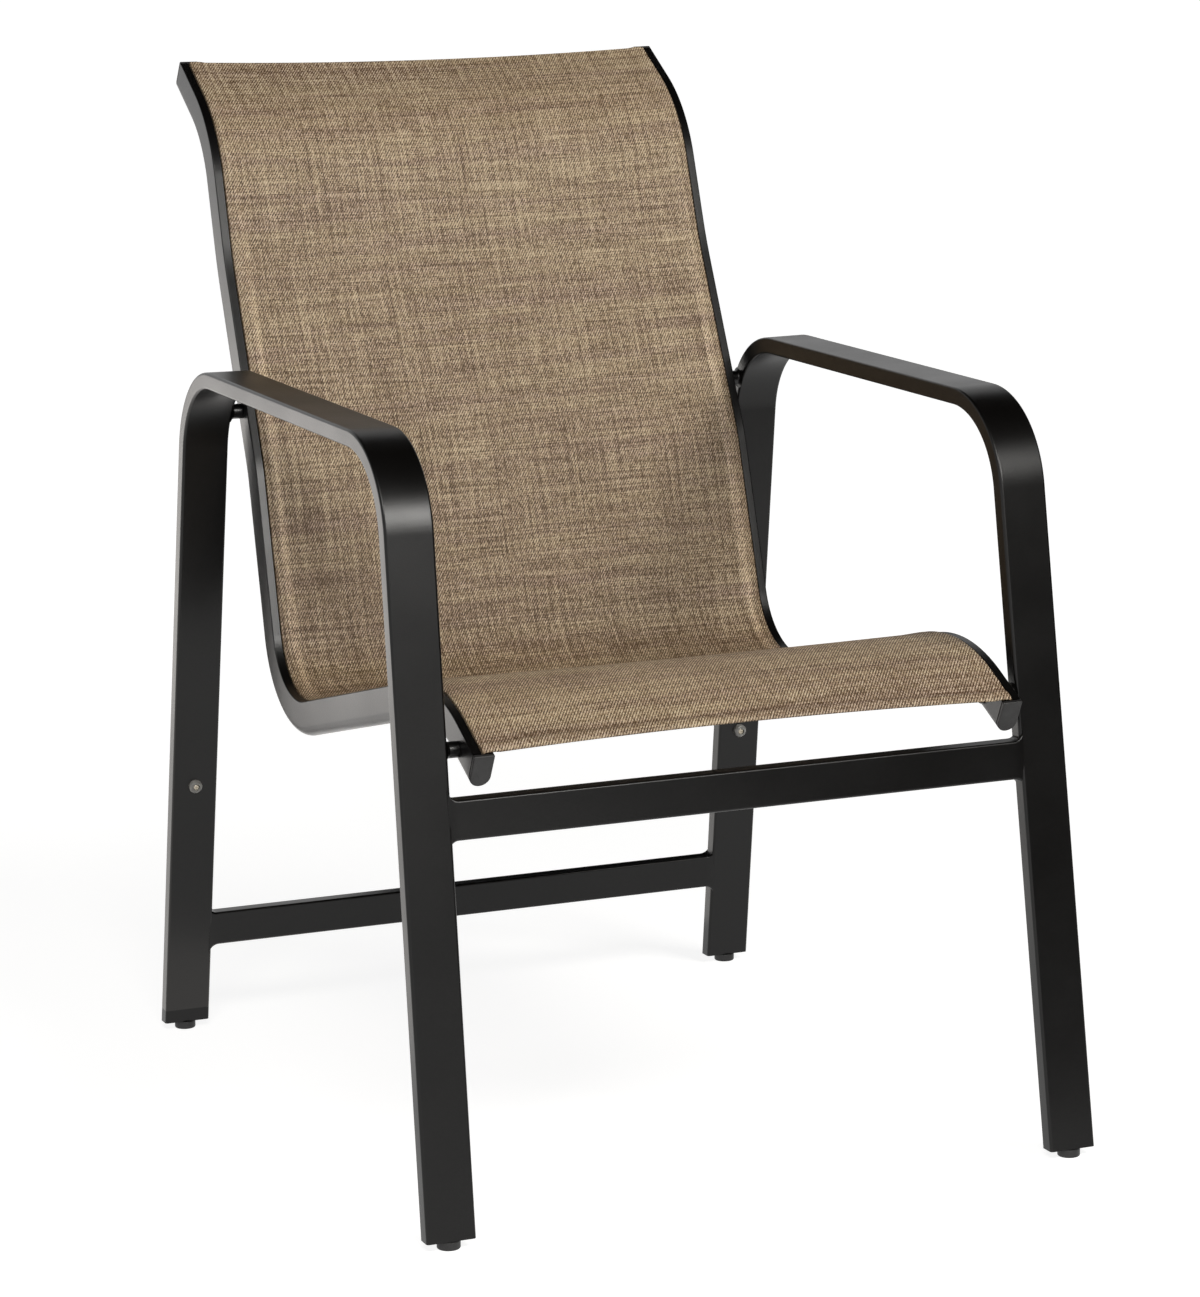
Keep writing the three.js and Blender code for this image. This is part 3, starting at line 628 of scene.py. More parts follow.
def cut_out(piece, tool):
    """Cuts a tool's shape out of a piece."""
    pick(piece)
    cut = piece.modifiers.new("cut", "BOOLEAN")
    cut.object = tool
    cut.solver = "EXACT"
    bpy.ops.object.modifier_apply(modifier=cut.name)
    bpy.data.objects.remove(tool)


for where, place in BOSSES:
    head = turned_stub(HEAD_RADIUS, BOLT_SEAT, BOLT_SEAT + HEAD_HEIGHT, place)
    end_face(head, Vector((-1, 0, 0)))
    bpy.ops.mesh.bevel(offset=HEAD_DOME, segments=6, affect="EDGES")
    bpy.ops.object.mode_set(mode="OBJECT")
    floor_at, past_head = BOLT_SEAT + SOCKET_FLOOR, BOLT_SEAT + 2 * HEAD_HEIGHT
    cut_out(head, turned_stub(SOCKET_FLATS / math.sqrt(3), floor_at, past_head, place, sides=6))
    set_pair(head, f"{where}_bolt_head", black_steel, f"{where}_rail_bolt")


# Spline rods
# Plain extruded rods that lock the sling's side hems into the rails' grooves. The solids stay.

# Dark extruded plastic: drawn smooth, with long faint die lines.
rod_plastic, tree, surface = new_finish("extruded_rod_plastic")
place = add_node(tree, "ShaderNodeTexCoord").outputs["Object"]
lines = add_node(tree, "ShaderNodeTexNoise", {"Vector": place, "Scale": 700.0, "Detail": 2.0})
colour = add_node(
    tree, "ShaderNodeMix", {"Factor": lines, "A": srgb("#34312E"), "B": srgb("#45423E")},
    data_type="RGBA",
)
rod = add_node(tree, "ShaderNodeBsdfPrincipled", {"Base Color": colour, "Roughness": 0.5})
tree.links.new(rod.outputs["BSDF"], surface)
for side in ("left", "right"):
    put_on(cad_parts[f"sling_spline_{side}"], rod_plastic)


# Sling
# One sheet of woven mesh, vinyl-coated polyester yarn about 0.9 mm thick, stretched from rail to
# rail. Each side wraps a rod in the rail's groove, and the front and top edges are folded hems.

FABRIC = 0.0009
SAG = 0.0018
FRONT_DIP = 0.0095
TOP_DIP = 0.006
HEM = 0.0165
POCKET_RADIUS = 0.0025


def side_profile():
    """Right half of the sheet's section as (distance in from the groove, height over the rail)."""
    points = []
    for step in range(11):
        angle = radians(108 + 300 * step / 10)
        points.append((POCKET_RADIUS * cos(angle), POCKET_RADIUS * sin(angle) - GROOVE_DOWN))
    points += [(0.00062, -0.0030), (0.00062, -0.0015), (0.00062, -0.0002)]
    for step in range(4):
        angle = radians(165 - 75 * step / 3)
        points.append((0.0011 + 0.0005 * cos(angle), 0.0005 * sin(angle)))
    return points


def ease(low, high, value):
    """From 0 to 1 between two values, with a soft start and stop."""
    t = min(1.0, max(0.0, (value - low) / (high - low)))
    return t * t * (3 - 2 * t)


def height_over_rail(inward, half):
    """Height of the sheet: the side hem's double layer ends 13 mm in with a step, then the sag."""
    x = max(0.0, half - inward)
    layers = 0.0006 * ease(0.0012, 0.004, inward) - 0.0009 * ease(0.0098, 0.0168, inward)
    sag = SAG * (1 - min(1.0, x / (half - 0.013)) ** 2)
    return 0.0005 + layers - sag


def hem_profile(plump):
    """Rows at a free edge as (distance in from the edge, height over the sheet), flap first."""
    rows = [(HEM - 0.0012 * step, -0.00105) for step in range(13)]
    for step in range(7):
        angle = radians(270 - 180 * step / 6)
        rows.append((0.00053 + 0.00053 * cos(angle), -0.00053 + 0.00053 * sin(angle)))
    for step in range(1, 31):
        inward = 0.0006 * step + 0.0006
        roll = 0.0011 * ease(0.0, 0.0034, inward) - 0.0017 * ease(0.0065, 0.0142, inward)
        rows.append((inward, plump * (roll + 0.0006 * ease(0.0148, 0.0174, inward))))
    return rows


def sheet_rows():
    """Every row of the sheet as (distance from the front edge, from the top edge, height)."""
    front, top = hem_profile(1.0), hem_profile(0.35)
    clear = front[-1][0]
    length = RAIL_TO - RAIL_FROM
    rows = [(inward, None, height) for inward, height in front]
    between = 236
    for step in range(1, between):
        rows.append((clear + (length - 2 * clear) * step / between, None, 0.0))
    rows += [(None, inward, height) for inward, height in reversed(top)]
    return rows


def build_sling():
    """The sheet's middle surface, with its flat place in metres and the distances to its hems."""
    shape = bmesh.new()
    weave_map = shape.loops.layers.uv.new("weave")
    from_slot = shape.verts.layers.float.new("from_slot")
    from_end = shape.verts.layers.float.new("from_end")
    near = side_profile()
    # The other columns are wide on the hem, close over its step, and wide again to the middle.
    inward_steps = [0.0011 + 0.0011 * k for k in range(1, 9)]
    inward_steps += [0.0104 + 0.0005 * k for k in range(11)]
    inward_steps += [0.0165, 0.018]
    last = inward_steps[-1]
    wide = 22
    grid, flat = [], []
    rows = sheet_rows()
    length = RAIL_TO - RAIL_FROM
    for from_front, from_top, lift in rows:
        line, places = [], []
        along = from_front if from_front is not None else length - from_top
        y, z, _ = place_at(sling_line, RAIL_FROM + along)
        half = (lean_right @ Vector((-GROOVE_IN, y, z))).x
        columns = near + [(d, None) for d in inward_steps]
        columns += [(half - (half - last) * (1 - k / wide), None) for k in range(1, wide + 1)]
        gone = 0.0
        for k, (inward, height) in enumerate(columns):
            if height is None:
                height = height_over_rail(inward, half)
            x = half - inward
            bow = max(0.0, 1 - (x / half) ** 2)
            start = RAIL_FROM + FRONT_DIP * bow
            stop = RAIL_TO - TOP_DIP * bow
            if from_front is not None:
                s = start + from_front * (stop - start) / length
            else:
                s = stop - from_top * (stop - start) / length
            y, z, heading = place_at(sling_line, s)
            rise = height + lift
            lifted = (y - rise * sin(heading), z + rise * cos(heading))
            hung = lean_right @ Vector((-GROOVE_IN, *lifted))
            if line:
                gone += math.hypot(inward - columns[k - 1][0], height - before)
            before = height
            line.append((x, hung.y, hung.z))
            places.append((gone, inward, min(s - start, stop - s)))
        width = gone
        full = line + [(-x, y, z) for x, y, z in reversed(line[:-1])]
        grid.append([shape.verts.new(point) for point in full])
        for vert, (_, inward, edge) in zip(grid[-1], places + places[-2::-1]):
            vert[from_slot] = inward
            vert[from_end] = edge
        flat.append([width - g for g, _, _ in places] + [g - width for g, _, _ in places[-2::-1]])
    down = 0.0
    lengths = [0.0]
    middle = len(grid[0]) // 2
    for a, b in zip(grid, grid[1:]):
        down += (b[middle].co - a[middle].co).length
        lengths.append(down)
    for r in range(len(grid) - 1):
        for c in range(len(grid[0]) - 1):
            corners = [(r, c), (r + 1, c), (r + 1, c + 1), (r, c + 1)]
            face = shape.faces.new([grid[i][j] for i, j in corners])
            face.smooth = True
            for loop, (i, j) in zip(face.loops, corners):
                loop[weave_map].uv = (flat[i][j], lengths[i])
    mesh = bpy.data.meshes.new("woven_sling")
    shape.to_mesh(mesh)
    shape.free()
    cloth = bpy.data.objects.new("woven_sling", mesh)
    bpy.context.collection.objects.link(cloth)
    return cloth


sling = build_sling()
pick(sling)
face_outwards(sling)
thickness = sling.modifiers.new("thickness", "SOLIDIFY")
thickness.thickness = FABRIC
thickness.offset = 0
bpy.ops.object.modifier_apply(modifier=thickness.name)

# Woven vinyl-coated yarn in taupe, tan and mauve-grey, in a 2/2 twill whose ribs slant up to the
# right. Each yarn changes tone along its length, which gives short slubs both ways, and the round
# yarns have painted shade in the pits between them. The real yarns are about 0.54 mm apart across
# and 0.84 mm along, too fine to show, so they are drawn 0.68 and 1.0 mm apart.
mesh_cloth, tree, surface = new_finish("woven_vinyl_mesh")
WARP_PITCH = 0.00068
WEFT_PITCH = 0.0010
uv = add_node(tree, "ShaderNodeUVMap", uv_map="weave")
flat_place = add_node(tree, "ShaderNodeSeparateXYZ", {"Vector": uv})
across, along = flat_place.outputs["X"], flat_place.outputs["Y"]
in_yarns = add_node(
    tree, "ShaderNodeVectorMath", {0: uv, 1: (WARP_PITCH, WEFT_PITCH, 1)}, operation="DIVIDE"
)
number = add_node(tree, "ShaderNodeVectorMath", {0: in_yarns}, operation="FLOOR")
number = add_node(tree, "ShaderNodeSeparateXYZ", {"Vector": number})
warp_no, weft_no = number.outputs["X"], number.outputs["Y"]

# A 2/2 twill: the warp lies on top where its number less the weft's leaves 0 or 1 over fours.
rib = add_node(tree, "ShaderNodeMath", {0: warp_no, 1: weft_no}, operation="SUBTRACT")
rib = add_node(tree, "ShaderNodeMath", {0: rib, 1: 4.0}, operation="DIVIDE")
in_rib = add_node(tree, "ShaderNodeMath", {0: rib}, operation="FRACT")
on_top = add_node(tree, "ShaderNodeMath", {0: in_rib, 1: 0.5}, operation="LESS_THAN")

# Each yarn's tone changes by chance wherever it comes up. Its round top is a painted highlight
# and its sides are painted shade; the same roundness gives the bump.
yarn_no = add_node(tree, "ShaderNodeMix", {"Factor": on_top, "A": weft_no, "B": warp_no})
float_no = add_node(tree, "ShaderNodeMath", {0: rib}, operation="FLOOR")
crossing = add_node(tree, "ShaderNodeCombineXYZ", {"X": yarn_no, "Y": float_no, "Z": on_top})
chance = add_node(tree, "ShaderNodeTexWhiteNoise", {"Vector": crossing}, noise_dimensions="3D")
crown = add_node(tree, "ShaderNodeVectorMath", {0: in_yarns}, operation="FRACTION")
crown = add_node(tree, "ShaderNodeVectorMath", {0: crown, "Scale": math.pi}, operation="SCALE")
crown = add_node(tree, "ShaderNodeVectorMath", {0: crown}, operation="SINE")
crown = add_node(tree, "ShaderNodeSeparateXYZ", {"Vector": crown})
yarn_round = add_node(
    tree, "ShaderNodeMix", {"Factor": on_top, "A": crown.outputs["Y"], "B": crown.outputs["X"]}
)

# Blots of tone along each warp and each weft yarn, along groups of either, and in broad bands
# across the cloth: what they run over, how many there are to a yarn or a metre, and their detail.
blots = []
for x, y, counts, detail in (
    (warp_no, along, (7.31, 1 / 0.12), 1.0),
    (across, weft_no, (1 / 0.08, 5.77), 1.0),
    (across, along, (1 / 0.0020, 1 / 0.15), 2.0),
    (across, along, (1 / 0.08, 1 / 0.0019), 2.0),
    (across, along, (1 / 0.30, 1 / 0.016), 2.0),
):
    spot = add_node(tree, "ShaderNodeCombineXYZ", {"X": x, "Y": y})
    spot = add_node(
        tree, "ShaderNodeVectorMath", {0: spot, 1: (*counts, 1)}, operation="MULTIPLY"
    )
    noise = add_node(
        tree, "ShaderNodeTexNoise",
        {"Vector": spot, "Scale": 1.0, "Detail": detail, "Roughness": 0.55},
        noise_dimensions="2D",
    )
    blots.append(noise)
warp_tone, weft_tone, warp_group, weft_group, bands = blots

# The warp's slubs are pressed flat on the seat, and the twill's ribs stand out there instead.
slub_share, rib_share, on_back = [
    add_node(
        tree, "ShaderNodeMapRange",
        {"Value": along, "From Min": 0.40, "From Max": 0.52, "To Min": seat, "To Max": back},
    )
    for seat, back in ((0.174, 0.58), (0.62, 0.50), (0.0, 1.0))
]

# Painted shade: the front hem is darkened along its seam groove, 13 mm in, and the top one less.
# Painted highlight: both are painted lighter where they roll over their edge.
from_end = add_node(tree, "ShaderNodeAttribute", attribute_name="from_end").outputs["Fac"]
seam_shade_strength = add_node(
    tree, "ShaderNodeMapRange",
    {"Value": along, "From Min": 0.9, "From Max": 1.0, "To Min": 1.0, "To Max": 0.3},
)
off_seam = add_node(tree, "ShaderNodeMath", {0: from_end, 1: 0.013}, operation="SUBTRACT")
off_seam = add_node(tree, "ShaderNodeMath", {0: off_seam}, operation="ABSOLUTE")
seam_shade = add_node(
    tree, "ShaderNodeMapRange",
    {"Value": off_seam, "From Min": 0.0, "From Max": 0.006, "To Min": seam_shade_strength, "To Max": 0.0},
)
# Painted highlight: lighter within 7 mm of the edge, where the hem rolls over.
roll = add_node(
    tree, "ShaderNodeMapRange",
    {"Value": from_end, "From Min": 0.002, "From Max": 0.007, "To Min": 0.03, "To Max": 0.0},
)

# Painted highlight: low on the back, along the side hems' inner step, 11.8 mm in, the cloth is
# painted lighter, and it is a little glossier there.
from_slot = add_node(tree, "ShaderNodeAttribute", attribute_name="from_slot").outputs["Fac"]
low_back = add_node(
    tree, "ShaderNodeMapRange",
    {"Value": along, "From Min": 0.76, "From Max": 1.04, "To Min": on_back, "To Max": 0.0},
)
off_step = add_node(tree, "ShaderNodeMath", {0: from_slot, 1: 0.0118}, operation="SUBTRACT")
off_step = add_node(tree, "ShaderNodeMath", {0: off_step}, operation="ABSOLUTE")
step_highlight = add_node(
    tree, "ShaderNodeMapRange",
    {"Value": off_step, "From Min": 0.0027, "From Max": 0.0054, "To Min": low_back, "To Max": 0.0},
)

# Painted shade: darkest in the bend from seat to back, less on the seat and up the back, none at
# the top.
bend_shade = add_node(tree, "ShaderNodeValToRGB", {"Fac": along})
stops = bend_shade.color_ramp.elements
stops[0].position, stops[0].color = 0.34, (0.93, 0.93, 0.93, 1)
stops[1].position, stops[1].color = 1.0, (1, 1, 1, 1)
for position, share in ((0.455, 0.78), (0.50, 0.83), (0.58, 0.905), (0.75, 0.94)):
    stops.new(position).color = (share, share, share, 1)

# What each of these adds to the level of the tone, about its own middle.
level = 0.475
for part, middle, share in (
    (warp_tone, 0.5, 0.50), (weft_tone, 0.5, 0.60),
    (warp_group, 0.5, slub_share), (weft_group, 0.5, 0.44), (bands, 0.5, 0.24),
    (on_top, 0.5, rib_share), (chance, 0.5, 0.58), (yarn_round, 0.643, 0.28),
    (bend_shade, 1.0, 1.0), (roll, 0.0, 1.0), (seam_shade, 0.0, -0.17), (step_highlight, 0.0, 0.13),
):
    off = add_node(tree, "ShaderNodeMath", {0: part, 1: middle}, operation="SUBTRACT")
    level = add_node(
        tree, "ShaderNodeMath", {0: off, 1: share, 2: level}, operation="MULTIPLY_ADD"
    )
tones = add_node(tree, "ShaderNodeValToRGB", {"Fac": level})
stops = tones.color_ramp.elements
stops[0].position, stops[0].color = 0.0, srgb("#3E2A12")
stops[1].position, stops[1].color = 1.0, srgb("#D4C2A6")
stops.new(0.25).color = srgb("#68543B")
stops.new(0.5).color = srgb("#8F7A61")
stops.new(0.75).color = srgb("#B49F85")

# The darker yarns and bands and the hems' painted seam shade are greyer and a little mauve.
mauve = 2.15
for part, share in ((seam_shade, 0.35), (bands, -1.8), (warp_group, -1.0), (weft_group, -1.0)):
    mauve = add_node(
        tree, "ShaderNodeMath", {0: part, 1: share, 2: mauve}, operation="MULTIPLY_ADD"
    )
tint = add_node(
    tree, "ShaderNodeMix",
    {"Factor": mauve, "A": (1.0, 1.0, 0.97, 1), "B": (1.0, 0.955, 1.08, 1)}, data_type="RGBA",
)
colour = add_node(tree, "ShaderNodeVectorMath", {0: tones, 1: tint}, operation="MULTIPLY")
# The painted highlight on the hems' step lifts the colour there, and lowers the roughness.
lift = add_node(tree, "ShaderNodeMath", {0: step_highlight, 1: 0.2, 2: 1.0}, operation="MULTIPLY_ADD")
colour = add_node(tree, "ShaderNodeVectorMath", {0: colour, "Scale": lift}, operation="SCALE")
rough = add_node(tree, "ShaderNodeMath", {0: step_highlight, 1: -0.12, 2: 0.6}, operation="MULTIPLY_ADD")
bump = add_node(
    tree, "ShaderNodeBump", {"Height": yarn_round, "Strength": 0.35, "Distance": 0.0003}
)
yarn = add_node(
    tree, "ShaderNodeBsdfPrincipled",
    {"Base Color": colour, "Roughness": rough, "Normal": bump, "IOR": 1.45},
)
tree.links.new(yarn.outputs["BSDF"], surface)
dress(sling, "woven_sling", mesh_cloth, "sling")


# Spreader bars
# Oval aluminium tubes, one under the seat and one behind the back, that hold the rails apart
# and keep the sling tight. They bow away from the sitter and end in nylon plugs on the rails.

SPREADER_WIDE = 0.028
SPREADER_HIGH = 0.012
SPREADER_DEEP = 0.016
SPREADER_END = 0.034
PLUG_FLANGE = 0.002


def spreader(name, at, bow):
    """A bowed bar between the rails at a place on their line, level at its ends, and its plugs."""
    y, z, heading = place_at(sling_line, at)
    seat = (y + SPREADER_DEEP * sin(heading), z - SPREADER_DEEP * cos(heading))
    end = lean_right @ Vector((-(RAIL_OUTER + RAIL_WIDTH + PLUG_FLANGE + 0.0003), *seat))
    reach = end.x - SPREADER_END
    turn = 2 * math.atan(bow / reach)
    radius = reach / 2 / sin(turn)
    # The bar is drawn in the YZ plane as if it ran along +Y, and is then turned across the chair.
    line = lay_out(
        (-end.x, 0.0),
        0.0,
        [
            {"straight": SPREADER_END},
            {"bend": radius, "to": -turn},
            {"bend": radius, "to": turn},
            {"bend": radius, "to": 0.0},
            {"straight": SPREADER_END},
        ],
    )
    bar = rounded_end(SPREADER_WIDE, SPREADER_HIGH, SPREADER_HIGH / 2 - 1e-5, 8)
    draw_along(bar, line, 0.8)
    turn_across = Matrix.Rotation(-math.pi / 2, 4, "Z")
    settle = Matrix.Translation((0, end.y, end.z)) @ Matrix.Rotation(heading, 4, "X")
    bar.data.transform(settle @ turn_across)
    smooth(bar)
    dress(bar, f"oval_{name}", powder_coat, name)
    plug = rounded_end(SPREADER_WIDE, SPREADER_HIGH, SPREADER_HIGH / 2 - 1e-5, 8)
    edit_all()
    push((0, 0, PLUG_FLANGE))
    choose(
        plug, "EDGE",
        lambda edge: sum(abs(face.normal.z) > 0.9 for face in edge.link_faces) == 1,
    )
    bpy.ops.mesh.bevel(offset=0.0003, segments=2, affect="EDGES")
    face_outwards(plug)
    across = Matrix(((0, 0, -1, 0), (1, 0, 0, 0), (0, 1, 0, 0), (0, 0, 0, 1)))
    on_rail = Matrix.Translation((-(RAIL_OUTER + RAIL_WIDTH), *seat))
    plug.data.transform(on_rail @ Matrix.Rotation(heading, 4, "X") @ across)
    part = name.replace("_bar", "")
    set_pair(plug, f"{part}_flange", black_nylon, f"{part}_plug")


spreader("seat_spreader_bar", at=0.210, bow=0.012)
spreader("back_spreader_bar", at=0.900, bow=0.016)


# Feet
# A moulded plug closes each leg's open end, and a round nylon glide with a chamfered foot is
# pressed into it. The plugs' solids stay, and take the nylon.

GLIDE_RADIUS = 0.010
GLIDE_HEIGHT = LEG_END - 0.0001
FOOT_CHAMFER = 0.0014
RIM_CHAMFER = 0.0008

for leg in ("front", "rear"):
    for side in ("left", "right"):
        put_on(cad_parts[f"{leg}_leg_plug_{side}"], black_nylon)
        low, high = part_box(f"{leg}_glide_{side}")
        middle = (Vector(low) + Vector(high)) / 2
        bpy.ops.mesh.primitive_cylinder_add(
            vertices=40, radius=GLIDE_RADIUS, depth=GLIDE_HEIGHT,
            location=(middle.x, middle.y, GLIDE_HEIGHT / 2),
        )
        glide = bpy.context.object
        bpy.ops.object.transform_apply()
        for down, chamfer, steps in ((-1, FOOT_CHAMFER, 3), (1, RIM_CHAMFER, 2)):
            end_face(glide, Vector((0, 0, down)))
            bpy.ops.mesh.bevel(offset=chamfer, segments=steps, affect="EDGES")
        smooth(glide)
        dress(glide, f"{leg}_foot_{side}", black_nylon, f"{leg}_glide_{side}")


# Stack bumpers
# A clear soft vinyl button on the front face of each rear leg, where the next chair of a stack
# rests. One small plated pan-head screw in its recess holds it.

# Clear vinyl: soft and glossy, slightly clouded, with a faint warm tint where it is thick.
clear_vinyl, tree, surface = new_finish("clear_vinyl")
place = add_node(tree, "ShaderNodeTexCoord").outputs["Object"]
haze = add_node(tree, "ShaderNodeTexNoise", {"Vector": place, "Scale": 350.0, "Detail": 2.0})
rough = add_node(
    tree, "ShaderNodeMapRange",
    {"Value": haze, "From Min": 0.3, "From Max": 0.7, "To Min": 0.04, "To Max": 0.12},
)
bump = add_node(tree, "ShaderNodeBump", {"Height": haze, "Strength": 0.15, "Distance": 0.0004})
vinyl = add_node(
    tree, "ShaderNodeBsdfPrincipled",
    {
        "Base Color": srgb("#F2F0EA"), "Roughness": rough, "Normal": bump,
        "Transmission Weight": 0.7, "IOR": 1.58,
    },
)
tree.links.new(vinyl.outputs["BSDF"], surface)

# Plated steel: bright zinc on a pan head, slightly warm, with fine turning marks.
plated_steel, tree, surface = new_finish("zinc_plated_steel")
place = add_node(tree, "ShaderNodeTexCoord").outputs["Object"]
marks = add_node(tree, "ShaderNodeTexNoise", {"Vector": place, "Scale": 900.0, "Detail": 3.0})
colour, rough = mottle(tree, marks, "#9C9384", "#C9C2B2", 0.2, 0.34)
zinc = add_node(
    tree, "ShaderNodeBsdfPrincipled", {"Base Color": colour, "Roughness": rough, "Metallic": 1.0}
)
tree.links.new(zinc.outputs["BSDF"], surface)

BUMPER_HEIGHT = 0.251
face_y = rear_leg_at(BUMPER_HEIGHT) - BAR_THICK / 2 * cos(REAR_LEAN)
face_z = BUMPER_HEIGHT - BAR_THICK / 2 * sin(REAR_LEAN)
# Carries a piece modelled on the floor, looking up, to the leg's front face, looking forward.
on_leg = Matrix.Translation((0, face_y, face_z)) @ Matrix.Rotation(math.pi / 2 + REAR_LEAN, 4, "X")


def button(radius, height, dome, steps):
    """A round button on the floor with a domed rim."""
    bpy.ops.mesh.primitive_cylinder_add(
        vertices=40, radius=radius, depth=height, location=(0, 0, height / 2)
    )
    made = bpy.context.object
    bpy.ops.object.transform_apply()
    choose(made, "FACE", lambda face: face.normal.z > 0.9)
    bpy.ops.mesh.bevel(offset=dome, segments=steps, affect="EDGES")
    return made


BUMPER_RIM = 0.0007
RECESS = 0.0026
SCREW_SEAT = 0.0021

bumper = button(radius=0.00675, height=0.0046, dome=0.0029, steps=7)
choose(bumper, "FACE", lambda face: face.normal.z > 0.95 and face.calc_area() > 1e-5)
bpy.ops.mesh.inset(thickness=BUMPER_RIM, depth=0)
push((0, 0, -RECESS))
bpy.ops.object.mode_set(mode="OBJECT")
bumper.data.transform(on_leg)
set_pair(bumper, "bumper_button", clear_vinyl, "stack_bumper")

screw = button(radius=0.0028, height=0.0019, dome=0.0009, steps=5)
bpy.ops.object.mode_set(mode="OBJECT")
screw.data.transform(Matrix.Translation((0, 0, SCREW_SEAT)))
# The screw's cross recess is cut by two blades.
for turned in (0, 90):
    bpy.ops.mesh.primitive_cube_add(
        size=1, location=(0, 0, 0.0042), rotation=(0, 0, radians(turned))
    )
    blade = bpy.context.object
    blade.scale = (0.0031, 0.0007, 0.0017)
    bpy.ops.object.transform_apply()
    cut_out(screw, blade)
screw.data.transform(on_leg)
set_pair(screw, "bumper_pan_screw", plated_steel, "bumper_screw")


# Studio
# A white floor that runs out to a white horizon, soft boxes in front, and light panels on the
# floor at the back left. Black cards that only gloss sees stand round about and overhead.

# What camera and gloss see on the floor without any lamp: less near the chair, where lamps add.
WHITE_NEAR = 0.89
WHITE_FAR = 1.0


def seen_by_eye(tree):
    """1 for rays from the camera and for those that gloss or clear vinyl sends on, or else 0."""
    rays = add_node(tree, "ShaderNodeLightPath")
    seen = 0.0
    for kind in ("Is Camera Ray", "Is Glossy Ray", "Is Transmission Ray"):
        seen = add_node(
            tree, "ShaderNodeMath", {0: seen, 1: rays.outputs[kind]}, operation="MAXIMUM"
        )
    return seen


floor_paint, tree, surface = new_finish("white_floor_paint")
place = add_node(tree, "ShaderNodeTexCoord").outputs["Object"]
mottle = add_node(tree, "ShaderNodeTexNoise", {"Vector": place, "Scale": 3.0, "Detail": 2.0})
colour = add_node(
    tree, "ShaderNodeMix", {"Factor": mottle, "A": srgb("#9C9B99"), "B": srgb("#A09F9D")},
    data_type="RGBA",
)
paint = add_node(tree, "ShaderNodeBsdfDiffuse", {"Color": colour})
reach = add_node(tree, "ShaderNodeVectorMath", {0: place}, operation="LENGTH")
share = add_node(
    tree, "ShaderNodeMapRange",
    {
        "Value": reach, "From Min": 1.0, "From Max": 2.6,
        "To Min": WHITE_NEAR, "To Max": WHITE_FAR,
    },
)
seen = add_node(tree, "ShaderNodeMath", {0: seen_by_eye(tree), 1: share}, operation="MULTIPLY")
white = add_node(tree, "ShaderNodeEmission", {"Strength": seen})
both = add_node(tree, "ShaderNodeAddShader", {0: paint, 1: white})
tree.links.new(both.outputs["Shader"], surface)

bpy.ops.mesh.primitive_circle_add(vertices=96, radius=60, fill_type="NGON")
floor = bpy.context.object
floor.name = "floor"
floor.data.materials.append(floor_paint)

world = bpy.data.worlds.new("studio")
bpy.context.scene.world = world
world.use_nodes = True
tree = world.node_tree
tree.nodes.clear()
dim = add_node(tree, "ShaderNodeBackground", {"Color": (0.96, 0.98, 1.0, 1), "Strength": 0.07})
bright = add_node(tree, "ShaderNodeBackground", {"Color": (1, 1, 1, 1), "Strength": 1.0})
mixed = add_node(tree, "ShaderNodeMixShader", {0: seen_by_eye(tree), 1: dim, 2: bright})
add_node(tree, "ShaderNodeOutputWorld", {"Surface": mixed})

card_paint, tree, surface = new_finish("black_card")
place = add_node(tree, "ShaderNodeTexCoord").outputs["Object"]
nap = add_node(tree, "ShaderNodeTexNoise", {"Vector": place, "Scale": 40.0})
colour = add_node(
    tree, "ShaderNodeMix", {"Factor": nap, "A": srgb("#0B0B0B"), "B": srgb("#101010")},
    data_type="RGBA",
)
card_face = add_node(tree, "ShaderNodeBsdfDiffuse", {"Color": colour})
tree.links.new(card_face.outputs["BSDF"], surface)


def black_card(name, place, size, turn):
    """A card that the coat mirrors, and that neither blocks nor takes light."""
    bpy.ops.mesh.primitive_plane_add(size=1, location=place, rotation=turn)
    card = bpy.context.object
    card.name = name
    card.scale = (*size, 1)
    card.data.materials.append(card_paint)
    card.visible_camera = False
    card.visible_diffuse = False
    card.visible_transmission = False
    card.visible_shadow = False


upright = math.pi / 2
black_card("overhead_card", (0, -0.9, 2.9), (9, 7.0), (0, 0, 0))
black_card("front_card", (3.95, -4.2, 1.45), (5.0, 2.9), (upright, 0, 0))
black_card("right_card", (3.4, -1.2, 1.45), (6.0, 2.9), (upright, 0, upright))
black_card("low_rear_card", (1.0, 0.85, 0.365), (1.8, 0.69), (upright, 0, 0))
black_card("front_floor_card", (2.2, -2.7, 0.01), (3.5, 3.2), (0, 0, 0))


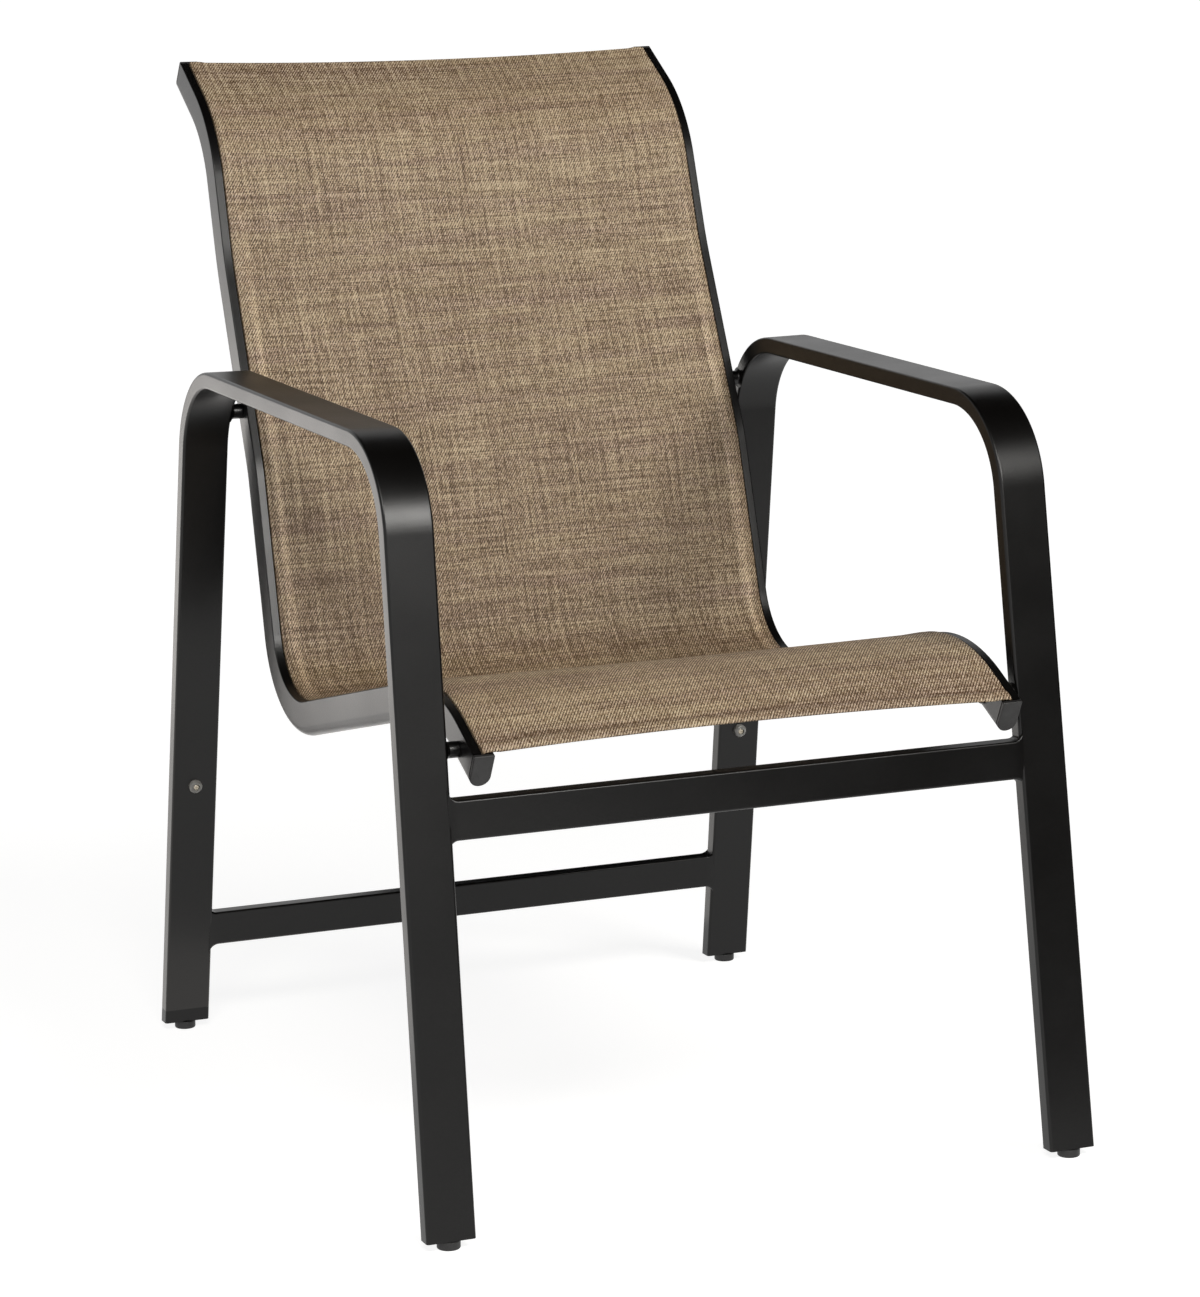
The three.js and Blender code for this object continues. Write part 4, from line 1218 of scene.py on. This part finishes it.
def soft_box(name, place, aim, size, watts, colour, diffuse=True, gloss=True):
    """A flat lamp aimed at a point. It can be left out of the plain light or of the gloss."""
    lamp = bpy.data.lights.new(name, "AREA")
    lamp.shape = "RECTANGLE"
    lamp.size, lamp.size_y = size
    lamp.energy = watts
    lamp.color = colour
    box = bpy.data.objects.new(name, lamp)
    box.location = place
    box.rotation_euler = (Vector(aim) - Vector(place)).to_track_quat("-Z", "Y").to_euler()
    box.visible_camera = False
    box.visible_diffuse = diffuse
    box.visible_glossy = gloss
    bpy.context.collection.objects.link(box)
    return box


WARM = (1.0, 0.985, 0.95)
SEAT = (0, 0, 0.6)
soft_box("right_key", (1.4, -2.2, 2.65), SEAT, (1.4, 1.1), 69, WARM, gloss=False)
soft_box("left_key", (-1.2, -2.4, 2.65), SEAT, (1.4, 0.9), 55, WARM)
soft_box("right_fill", (1.5, -2.2, 2.1), SEAT, (1.2, 0.9), 11, WARM, diffuse=False)
soft_box("high_strip", (0.62, -2.75, 1.90), (0, 0, 0.55), (1.1, 0.85), 57, WARM, diffuse=False)

# Three panels lie face up in a row on the floor, for the legs' sides to mirror.
for name, middle, length, watts in (
    ("near_panel", (-0.69, 0.92), 1.7, 6.5), ("middle_panel", (-1.47, 2.71), 2.28, 24),
    ("far_panel", (-2.68, 5.51), 3.82, 58),
):
    panel = soft_box(
        name, (*middle, 0.02), (*middle, 1.0), (1.8, length), watts, (1.0, 0.94, 0.88),
        diffuse=False,
    )
    panel.rotation_euler = (math.pi, 0, radians(23.4))

# The camera's place, turn and lens are those at which the chair's edges lie as in the photo.
FRAME_HEIGHT = 1297
FOCAL = 4294
camera = bpy.data.cameras.new("camera")
camera.sensor_fit = "VERTICAL"
camera.sensor_height = 36.0
camera.lens = 36.0 * FOCAL / FRAME_HEIGHT
camera.clip_end = 200
view = bpy.data.objects.new("camera", camera)
view.location = (-1.506030, -3.552081, 1.179874)
view.rotation_euler = (radians(78.681), radians(0.494), radians(-23.325))
bpy.context.collection.objects.link(view)
bpy.context.scene.camera = view
bpy.context.scene.view_settings.view_transform = "Standard"
